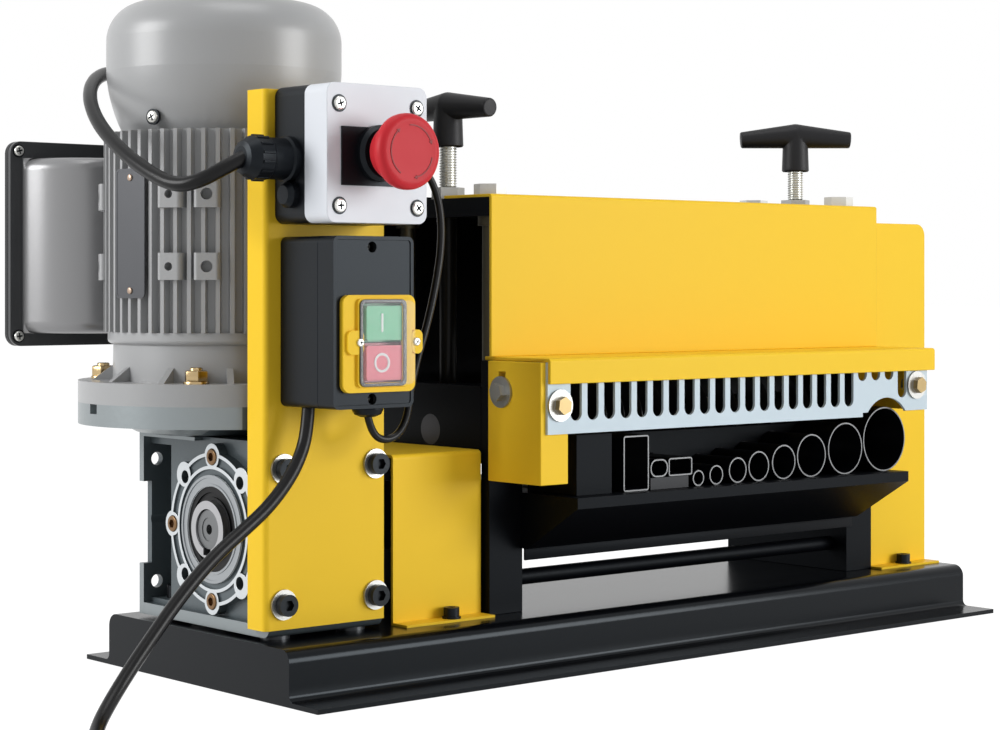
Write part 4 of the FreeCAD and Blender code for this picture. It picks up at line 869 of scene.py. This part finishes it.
class MACHINE_OT_output_ring(Step, bpy.types.Operator):
    """Adds the turned ridges round the gearbox's output"""

    bl_idname = "machine.output_ring"
    bl_label = "Output ring"

    def make(self):
        rings = []
        for side in (-1, 1):
            ring = drum(32.9, 0.8, 0, 0, COVER_FACE + 0.3, "Z", 96)
            pick(ring, facing("z"))
            for width, step in ((1.6, -0.55), (3.2, 0.0), (0.5, 0.5)):
                inset(width)
                if step:
                    extrude(0, 0, step)
            close_edit()
            cut_out(ring, drum(26.2, 4.0, 0, 0, COVER_FACE + 0.3, "Z", 96))
            rings.append(carry(ring, facing_turn((side, 0, 0))))
        dress(gather(rings), "turned_rings", "ring")
        flush = COVER_FACE + 2.4
        end = drum(12.3, 7.0, 0, 0, flush - 3.5, "Z", 64)
        round_edges(end, at_level("z", flush), 0.9, 3)
        sink(end, "z", 1, 4.2, 0.5)
        cut_out(end, drum(3.1, 12.0, 0, 0, flush - 0.9, "Z", 32))
        carry(end, facing_turn((-1, 0, 0)))
        dress(end, "drive_shaft_end", "shaft_end", "drive_train")


def turned(profile, x, z, sides=72):
    """Turns a profile of (radius, y) about an axis along Y, from the back to the front"""
    (back, y0), (radius, y) = profile[:2]
    made = drum(radius, y0 - y, x, (y0 + y) / 2, z, "Y", sides, back)
    pick(made, facing("y", -1))
    for wider, further in profile[2:]:
        extrude(0, further - y, 0)
        scale = wider / radius
        bpy.ops.transform.resize(value=(scale, 1, scale), center_override=row(x, further, z))
        radius, y = wider, further
    close_edit()
    return made


# The mushroom head's (radius, y), from the neck at the collar to the middle of its face
HEAD_PROFILE = (
    (15.0, -127.0), (15.7, -128.2), (15.6, -133.5), (15.9, -135.2), (16.9, -136.6), (18.8, -137.8),
    (20.9, -138.8), (21.8, -140.0), (22.0, -141.6), (22.0, -143.4), (21.6, -145.0), (20.7, -146.2),
    (19.3, -146.9), (17.4, -147.15), (16.9, -147.05), (8.0, -147.25), (1.0, -147.3),
)


class MACHINE_OT_stop_head(Step, bpy.types.Operator):
    """Models the mushroom head with its neck and adds the three turn-to-release arrows"""

    bl_idname = "machine.stop_head"
    bl_label = "Stop head"

    def make(self):
        head = turned(HEAD_PROFILE, *STOP_AXIS)
        dress(head, "mushroom_head", "red", "stop_head", 50.0)
        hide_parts("estop_mushroom")
        arcs = ((133.0, 104.0), (26.0, 70.0), (285.0, 63.0))
        marks = [self.arrow(start, sweep) for start, sweep in arcs]
        dress(gather(marks), "release_arrows", "dark_red", "stop_head")

    def arrow(self, start, sweep):
        """A flat bar round the face with a tip at its clockwise end"""
        inner = 14.7
        outer = 15.4
        low = -146.9
        high = -147.42
        section = [(inner, low, 0), (outer, low, 0), (outer, high, 0), (inner, high, 0)]
        bar = arc_bar(section, sweep, 20)
        tip = drum(1.5, 0.5, (inner + outer) / 2, -147.15, -0.9, "Y", 3)
        mark = gather([bar, tip])
        return carry(mark, Matrix.Rotation(radians(-start), 4, "Y"), (STOP_AXIS[0], 0, STOP_AXIS[1]))


class MACHINE_OT_switch_front(Step, bpy.types.Operator):
    """Models the switch box's cover, the window frame, the clear membrane and the two marks"""

    bl_idname = "machine.switch_front"
    bl_label = "Switch front"

    def make(self):
        self.cover()
        self.window()
        self.marks()

    def cover(self):
        cover = face_slab(COVER_BOX, BOX_FACE - 0.6, COVER_SEAM)
        round_edges(cover, along("y"), 4.0, 5)
        sink(cover, "y", -1, 2.2, 0.6)
        hollow = face_slab(COVER_HOLLOW, BOX_FACE + 3.0, COVER_SEAM + 1.6)
        window = face_slab(BUTTON_HOLE, BOX_FACE - 2.0, BOX_FACE + 4.0)
        holes = [drum(3.2, 8.0, x, BOX_FACE + 1.0, z, "Y", 32) for x, z in SWITCH_SCREWS]
        cut_out(cover, hollow, window, *holes)
        ease(cover, 0.35)
        dress(cover, "switch_cover_moulded", "plastic", angle=0)
        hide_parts("switch_cover")

    def window(self):
        liner = face_slab(LINER_BOX, *LINER_Y)
        round_edges(liner, along("y"), 3.0, 4)
        cut_out(liner, face_slab(LINER_HOLE, LINER_Y[0] - 2.7, LINER_Y[1] + 1.4))
        ease(liner, 0.3)
        dress(liner, "window_liner", "yellow", angle=0)
        ring = face_slab(FRAME_BOX, FRAME_FRONT, LINER_Y[0])
        round_edges(ring, along("y"), 3.6, 5)
        opening = face_slab(FRAME_HOLE, FRAME_FRONT - 1.8, LINER_Y[1] + 0.4)
        round_edges(opening, along("y"), 2.4, 5)
        cut_out(ring, opening)
        ease(ring, 0.25)
        dress(ring, "window_frame", "smoke", angle=0)
        clear = face_slab(CLEAR_BOX, *CLEAR_Y)
        round_edges(clear, along("y"), 4.0, 5)
        round_edges(clear, at_level("y", CLEAR_Y[0]), 1.9, 5)
        dress(clear, "clear_membrane", "clear")

    def marks(self):
        bar = slab(-4.5, -3.1, BUTTON_FACE - 0.45, BUTTON_FACE, 121.4, 132.2)
        round_edges(bar, along("y"), 0.5, 3)
        dress(bar, "start_mark", "white", "start_button")
        ring = drum(5.7, 0.45, -3.9, BUTTON_FACE - 0.22, 103.6, "Y", 48)
        sink(ring, "y", -1, 1.2, 0.2)
        cut_out(ring, drum(4.2, 2.0, -3.9, BUTTON_FACE - 0.2, 103.6, "Y", 48))
        dress(ring, "stop_mark", "white", "stop_button")


class MACHINE_OT_nameplate(Step, bpy.types.Operator):
    """Adds the bare plate and its two rivets on the motor's fins"""

    bl_idname = "machine.nameplate"
    bl_label = "Motor plate"

    def make(self):
        turn = Matrix.Rotation(radians(NAMEPLATE_ANGLE), 4, "Z")
        spot = beside_motor(NAMEPLATE_R, NAMEPLATE_ANGLE)
        plate = slab(0.0, 0.9, -13.6, 13.6, *NAMEPLATE_Z)
        round_edges(plate, along("x"), 3.2, 5)
        sink(plate, "x", 1, 1.3, 0.2)
        carry(plate, turn, spot)
        dress(plate, "motor_plate", "nameplate")
        rivets = []
        for z in (NAMEPLATE_Z[0] + 4.6, NAMEPLATE_Z[1] - 5.6):
            rivet = drum(2.1, 1.0, 0, 0, 0.5, "Z", 24)
            round_edges(rivet, at_level("z", 1.0), 0.6, 3)
            carry(rivet, facing_turn((1, 0, 0)), (0.7, 0, z))
            rivets.append(carry(rivet, turn, spot))
        dress(gather(rivets), "plate_rivets", "copper")


class MACHINE_OT_tee_screws(Step, bpy.types.Operator):
    """Models the two tee screws with their cast handles and cut threads"""

    bl_idname = "machine.tee_screws"
    bl_label = "Tee screws"

    def make(self):
        for side, x, hub in zip(("left", "right"), SCREW_X, HUB):
            name = "t_screw_" + side
            body = "tee_screw_" + side
            handle = self.handle(name, hub)
            dress(handle, name + "_handle", "handle", body)
            # The rod's material is near-black below Z 193 as painted shade inside the machine
            dress(self.rod(x, hub), name + "_rod", "screw_rod", body)
            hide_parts(name)

    def handle(self, name, hub):
        """The cast handle, cut from the frame's screw at the hub"""
        handle = merged_copy(name)
        open_edit(handle)
        bpy.ops.mesh.bisect(
            plane_co=row(0, 0, hub + 0.02), plane_no=(0, 0, 1), use_fill=True, clear_inner=True)
        close_edit()
        bevel(handle, 0.0006, 2, 40.0)
        return handle

    def rod(self, x, hub):
        """A plain foot and a threaded top that ends inside the hub"""
        plain = drum(5.9, THREAD_FOOT - ROD_FOOT, x, 0, (THREAD_FOOT + ROD_FOOT) / 2, "Z", 32)
        round_edges(plain, at_level("z", ROD_FOOT), 0.8, 2)
        low = THREAD_FOOT - 1.0
        high = hub + 3.0
        core = drum(5.15, high - low, x, 0, (high + low) / 2, "Z", 32)
        return gather([plain, core, self.thread(x, THREAD_FOOT, hub)])

    def thread(self, x, low, hub):
        turns = int((hub - low) / SCREW_PITCH)
        half = SCREW_PITCH * 0.46
        made = ring_of(((5.0, 0, -half), (5.97, 0, 0), (5.0, 0, half)))
        modify(made, "Thread", "SCREW", axis="Z", angle=2 * pi, screw_offset=SCREW_PITCH / 1000.0,
               iterations=turns, steps=24, render_steps=24)
        made.data.transform(Matrix.Translation(row(x, 0, low + half)))
        open_edit(made, "VERT")
        bpy.ops.mesh.fill_holes(sides=3)
        close_edit()
        return tidy_shell(made)


class MACHINE_OT_gland_ribs(Step, bpy.types.Operator):
    """Adds the grip ribs of the motor lead's gland nut"""

    bl_idname = "machine.gland_ribs"
    bl_label = "Gland ribs"

    def make(self):
        ribs = []
        for k in range(GLAND_RIBS):
            rib = slab(-66.4, -58.6, -0.9, 0.9, 12.3, 13.6)
            round_edges(rib, along("x"), 0.4, 2)
            ribs.append(carry(rib, Matrix.Rotation(2 * pi * k / GLAND_RIBS, 4, "X"), (0, *GLAND_AXIS)))
        dress(gather(ribs), "gland_ribs", "plastic")


class MACHINE_OT_mains_cord(Step, bpy.types.Operator):
    """Adds the mains cord, its put-away coil, tie and plug"""

    bl_idname = "machine.mains_cord"
    bl_label = "Mains cord"

    def make(self):
        diameter = sizes().mains_diameter
        start = coil_point(0.0)
        end = coil_point(COIL_TURNS)
        way = level_way(start, coil_point(0.004))
        out = level_way(coil_point(COIL_TURNS - 0.004), end)
        points = [row(*p) for p in MAINS_ROUTE]
        points += [start - way * 3 * diameter, start - way * diameter]
        steps = int(COIL_TURNS * COIL_POINTS)
        points += [coil_point(k / COIL_POINTS, COIL_WIDEN) for k in range(steps + 1)]
        tail = end + out * diameter
        cord = cord_curve("mains_cord_line", points + [tail], diameter)
        coat(cord, "rubber")
        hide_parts("mains_cord", "mains_cord_coil")
        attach(cord, "machine")
        pieces = self.plug(tail, out)
        tie = self.tie()

    # The plug is modelled along X from the cord's end, and plug() turns and moves it to its place.

    def relief(self):
        pitch = 4.0
        rib = 2.2
        relief = drum(5.0, pitch, pitch / 2, 0, 0, "X", 32)
        pick(relief, facing("x"))
        for k in range(1, 7):
            for step, share, end in ((rib, 1.12, pitch * k + rib), (pitch - rib, 0.955, pitch * (k + 1))):
                extrude(step, 0, 0)
                bpy.ops.transform.resize(value=(1, share, share), center_override=row(end, 0, 0))
        close_edit()
        return relief

    def body(self):
        body = slab(26, 60, -13, 13, -11.5, 11.5)
        pick(body, facing("x", -1))
        bpy.ops.transform.resize(value=(1, 0.72, 0.76), center_override=row(26, 0, 0))
        close_edit()
        round_edges(body, lambda a, b: True, 3.4, 4)
        pick(body, lambda c, n: abs(n.z) > 0.95 and abs(c.z) > 8)
        inset(3.0)
        bpy.ops.transform.resize(value=(1, 1, 0.9), center_override=row(43, 0, 0))
        close_edit()
        return body

    def pin(self, y0, y1):
        pin = slab(62, 82, y0, y1, -3.2, 3.2)
        round_edges(pin, lambda a, b: a.x > 81.9 and b.x > 81.9 and abs(a.z - b.z) < 0.01, 0.9, 3)
        cut_out(pin, drum(1.5, 8.0, 76.0, 0.5 * (y0 + y1), 0, "Y", 24))
        return pin

    def plug(self, start, way):
        turn = atan2(way.y, way.x)
        face = slab(57, 64, -15, 15, -13.5, 13.5)
        round_edges(face, along("x"), 5.0, 5)
        round_edges(face, at_level("x", 64.0), 1.0, 3)
        earth = drum(2.4, 22.0, 74, 0, -8.0, "X", 24)
        round_edges(earth, at_level("x", 85.0), 1.6, 4)
        made = [
            ("plug_relief", self.relief(), "rubber"),
            ("plug_body", self.body(), "rubber"),
            ("plug_face", face, "rubber"),
            ("plug_pins", gather([self.pin(-7.2, -5.7), self.pin(5.7, 7.2), earth]), "brass"),
        ]
        out = []
        for name, piece, kind in made:
            piece.data.transform(Matrix.Translation(start) @ Matrix.Rotation(turn, 4, "Z") @ AWAY)
            out.append(dress(piece, name, kind))
        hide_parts("mains_plug")
        return out

    def tie(self):
        loops = COIL_PITCH * COIL_TURNS / 4.0
        mid = COIL_OUT - loops
        half = loops + 4.6
        tie = slab(mid - half - 1.2, mid + half + 1.2, -5, 5, 0.05, 19.6)
        round_edges(tie, along("y"), 3.0, 5)
        hole = slab(mid - half, mid + half, -7, 7, 1.1, 18.4)
        round_edges(hole, along("y"), 2.0, 4)
        cut_out(tie, hole)
        turn = Matrix.Rotation(radians(205), 4, "Z")
        carry(tie, turn, (COIL_CENTRE[0], COIL_CENTRE[1], FLOOR))
        return dress(tie, "coil_tie", "plastic")


class MACHINE_OT_leads(Step, bpy.types.Operator):
    """Adds the motor lead and the thin lead between the switch boxes"""

    bl_idname = "machine.leads"
    bl_label = "Leads"

    def make(self):
        lead = self.lead("motor_lead_line", LEAD_ROUTE, sizes().lead_diameter)
        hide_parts("fixed_leads")
        self.lead("link_lead_line", LINK_ROUTE, sizes().link_diameter)

    def lead(self, name, route, diameter):
        lead = cord_curve(name, [row(*p) for p in route], diameter)
        coat(lead, "rubber")
        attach(lead, "machine")
        return lead


# Camera and lamps: each lamp's name, place in mm, width in metres and power in watts
CAMERA_PLACE = (-807.4, -1165.3, 148.3)
CAMERA_TURN = -40.51
CAMERA_LENS = 81.79
CAMERA_SHIFT = -0.0794
LAMPS = (
    ("Front light", (1900, -2540, 600), 1.5, 60.0),
    ("Left light", (-1700, 760, 800), 1.0, 30.0),
    ("Top light", (100, -300, 2300), 1.2, 12.0),
)
ROOM_LIGHT = 0.30
WHITE = (1, 1, 1, 1)


class MACHINE_OT_stage(Step, bpy.types.Operator):
    """Sets the camera, the floor, the soft lights and the white surroundings"""

    bl_idname = "machine.stage"
    bl_label = "Stage"

    def make(self):
        scene = bpy.context.scene
        bpy.ops.object.camera_add(location=row(*CAMERA_PLACE),
                                  rotation=(radians(90), 0, radians(CAMERA_TURN)))
        camera = bpy.context.object
        camera.data.sensor_width = 36.0
        camera.data.lens = CAMERA_LENS
        camera.data.shift_y = CAMERA_SHIFT
        scene.camera = camera
        self.surroundings(scene)
        self.floor()
        for name, place, size, power in LAMPS:
            bpy.ops.object.light_add(type="AREA", location=row(*place))
            lamp = bpy.context.object
            lamp.name = name
            lamp.data.size = size
            lamp.data.energy = power
            aim = row(200, 0, 60) - lamp.location
            lamp.rotation_euler = aim.to_track_quat("-Z", "Y").to_euler()
        scene.view_settings.view_transform = "Standard"

    def seen_plainly(self, tree):
        """The node whose value is 1 for camera, glossy and transmission rays"""
        path = add_node(tree, "LightPath")
        seen = add_node(tree, "Math", operation="MAXIMUM")
        either = add_node(tree, "Math", operation="MAXIMUM")
        wire(
            tree,
            (path, "Is Camera Ray", seen, 0), (path, "Is Glossy Ray", seen, 1),
            (seen, 0, either, 0), (path, "Is Transmission Ray", either, 1),
        )
        return either

    def surroundings(self, scene):
        """A room that lights softly and that those rays see as plain white"""
        world = bpy.data.worlds.new("White room")
        scene.world = world
        world.use_nodes = True
        tree = world.node_tree
        lit = tree.nodes["Background"]
        lit.inputs["Color"].default_value = WHITE
        lit.inputs["Strength"].default_value = ROOM_LIGHT
        plain = add_node(tree, "Background", {"Color": WHITE, "Strength": 1.0})
        mix = add_node(tree, "MixShader")
        wire(
            tree,
            (self.seen_plainly(tree), 0, mix, 0), (lit, 0, mix, 1), (plain, 0, mix, 2),
            (mix, 0, tree.nodes["World Output"], "Surface"),
        )

    def floor(self):
        """A matt floor that those rays see as nearly white, with the soft shadows on it"""
        bpy.ops.mesh.primitive_plane_add(size=40.0, location=(0, 0, -0.0004))
        floor = bpy.context.object
        floor.name = "pale_floor"
        pale = bpy.data.materials.new("Pale floor")
        pale.use_nodes = True
        tree = pale.node_tree
        tree.nodes.remove(tree.nodes["Principled BSDF"])
        matt = add_node(tree, "BsdfDiffuse", {"Color": (0.80, 0.80, 0.80, 1)})
        soft = add_node(tree, "BsdfDiffuse", {"Color": (0.20, 0.20, 0.20, 1)})
        glow = add_node(tree, "Emission", {"Strength": 0.96})
        both = add_node(tree, "AddShader")
        mix = add_node(tree, "MixShader")
        wire(
            tree,
            (soft, 0, both, 0), (glow, 0, both, 1), (self.seen_plainly(tree), 0, mix, 0),
            (matt, 0, mix, 1), (both, 0, mix, 2),
            (mix, 0, tree.nodes["Material Output"], "Surface"),
        )
        floor.data.materials.append(pale)


class MACHINE_PT_panel(bpy.types.Panel):
    """Lists the machine's steps in the sidebar"""

    bl_label = "Machine"
    bl_idname = "MACHINE_PT_panel"
    bl_space_type = "VIEW_3D"
    bl_region_type = "UI"
    bl_category = "Machine"

    def draw(self, context):
        for step in STEPS:
            self.layout.operator(step)


OPERATORS = (
    MACHINE_OT_frame_paint,
    MACHINE_OT_eased_pieces,
    MACHINE_OT_guide_tubes,
    MACHINE_OT_gear_screws,
    MACHINE_OT_output_ring,
    MACHINE_OT_screws,
    MACHINE_OT_stop_head,
    MACHINE_OT_switch_front,
    MACHINE_OT_nameplate,
    MACHINE_OT_tee_screws,
    MACHINE_OT_gland_ribs,
    MACHINE_OT_mains_cord,
    MACHINE_OT_leads,
    MACHINE_OT_stage,
)
STEPS = [operator.bl_idname for operator in OPERATORS]
CLASSES = (MachineSizes, MachineColours, *OPERATORS, MACHINE_PT_panel)


def register():
    for cls in CLASSES:
        bpy.utils.register_class(cls)
    bpy.types.Scene.machine_sizes = bpy.props.PointerProperty(type=MachineSizes)
    bpy.types.Scene.machine_colours = bpy.props.PointerProperty(type=MachineColours)


def unregister():
    del bpy.types.Scene.machine_colours
    del bpy.types.Scene.machine_sizes
    for cls in reversed(CLASSES):
        bpy.utils.unregister_class(cls)


def main():
    register()
    for step in STEPS:
        area, name = step.split(".")
        getattr(getattr(bpy.ops, area), name)()


if __name__ == "__main__":
    main()
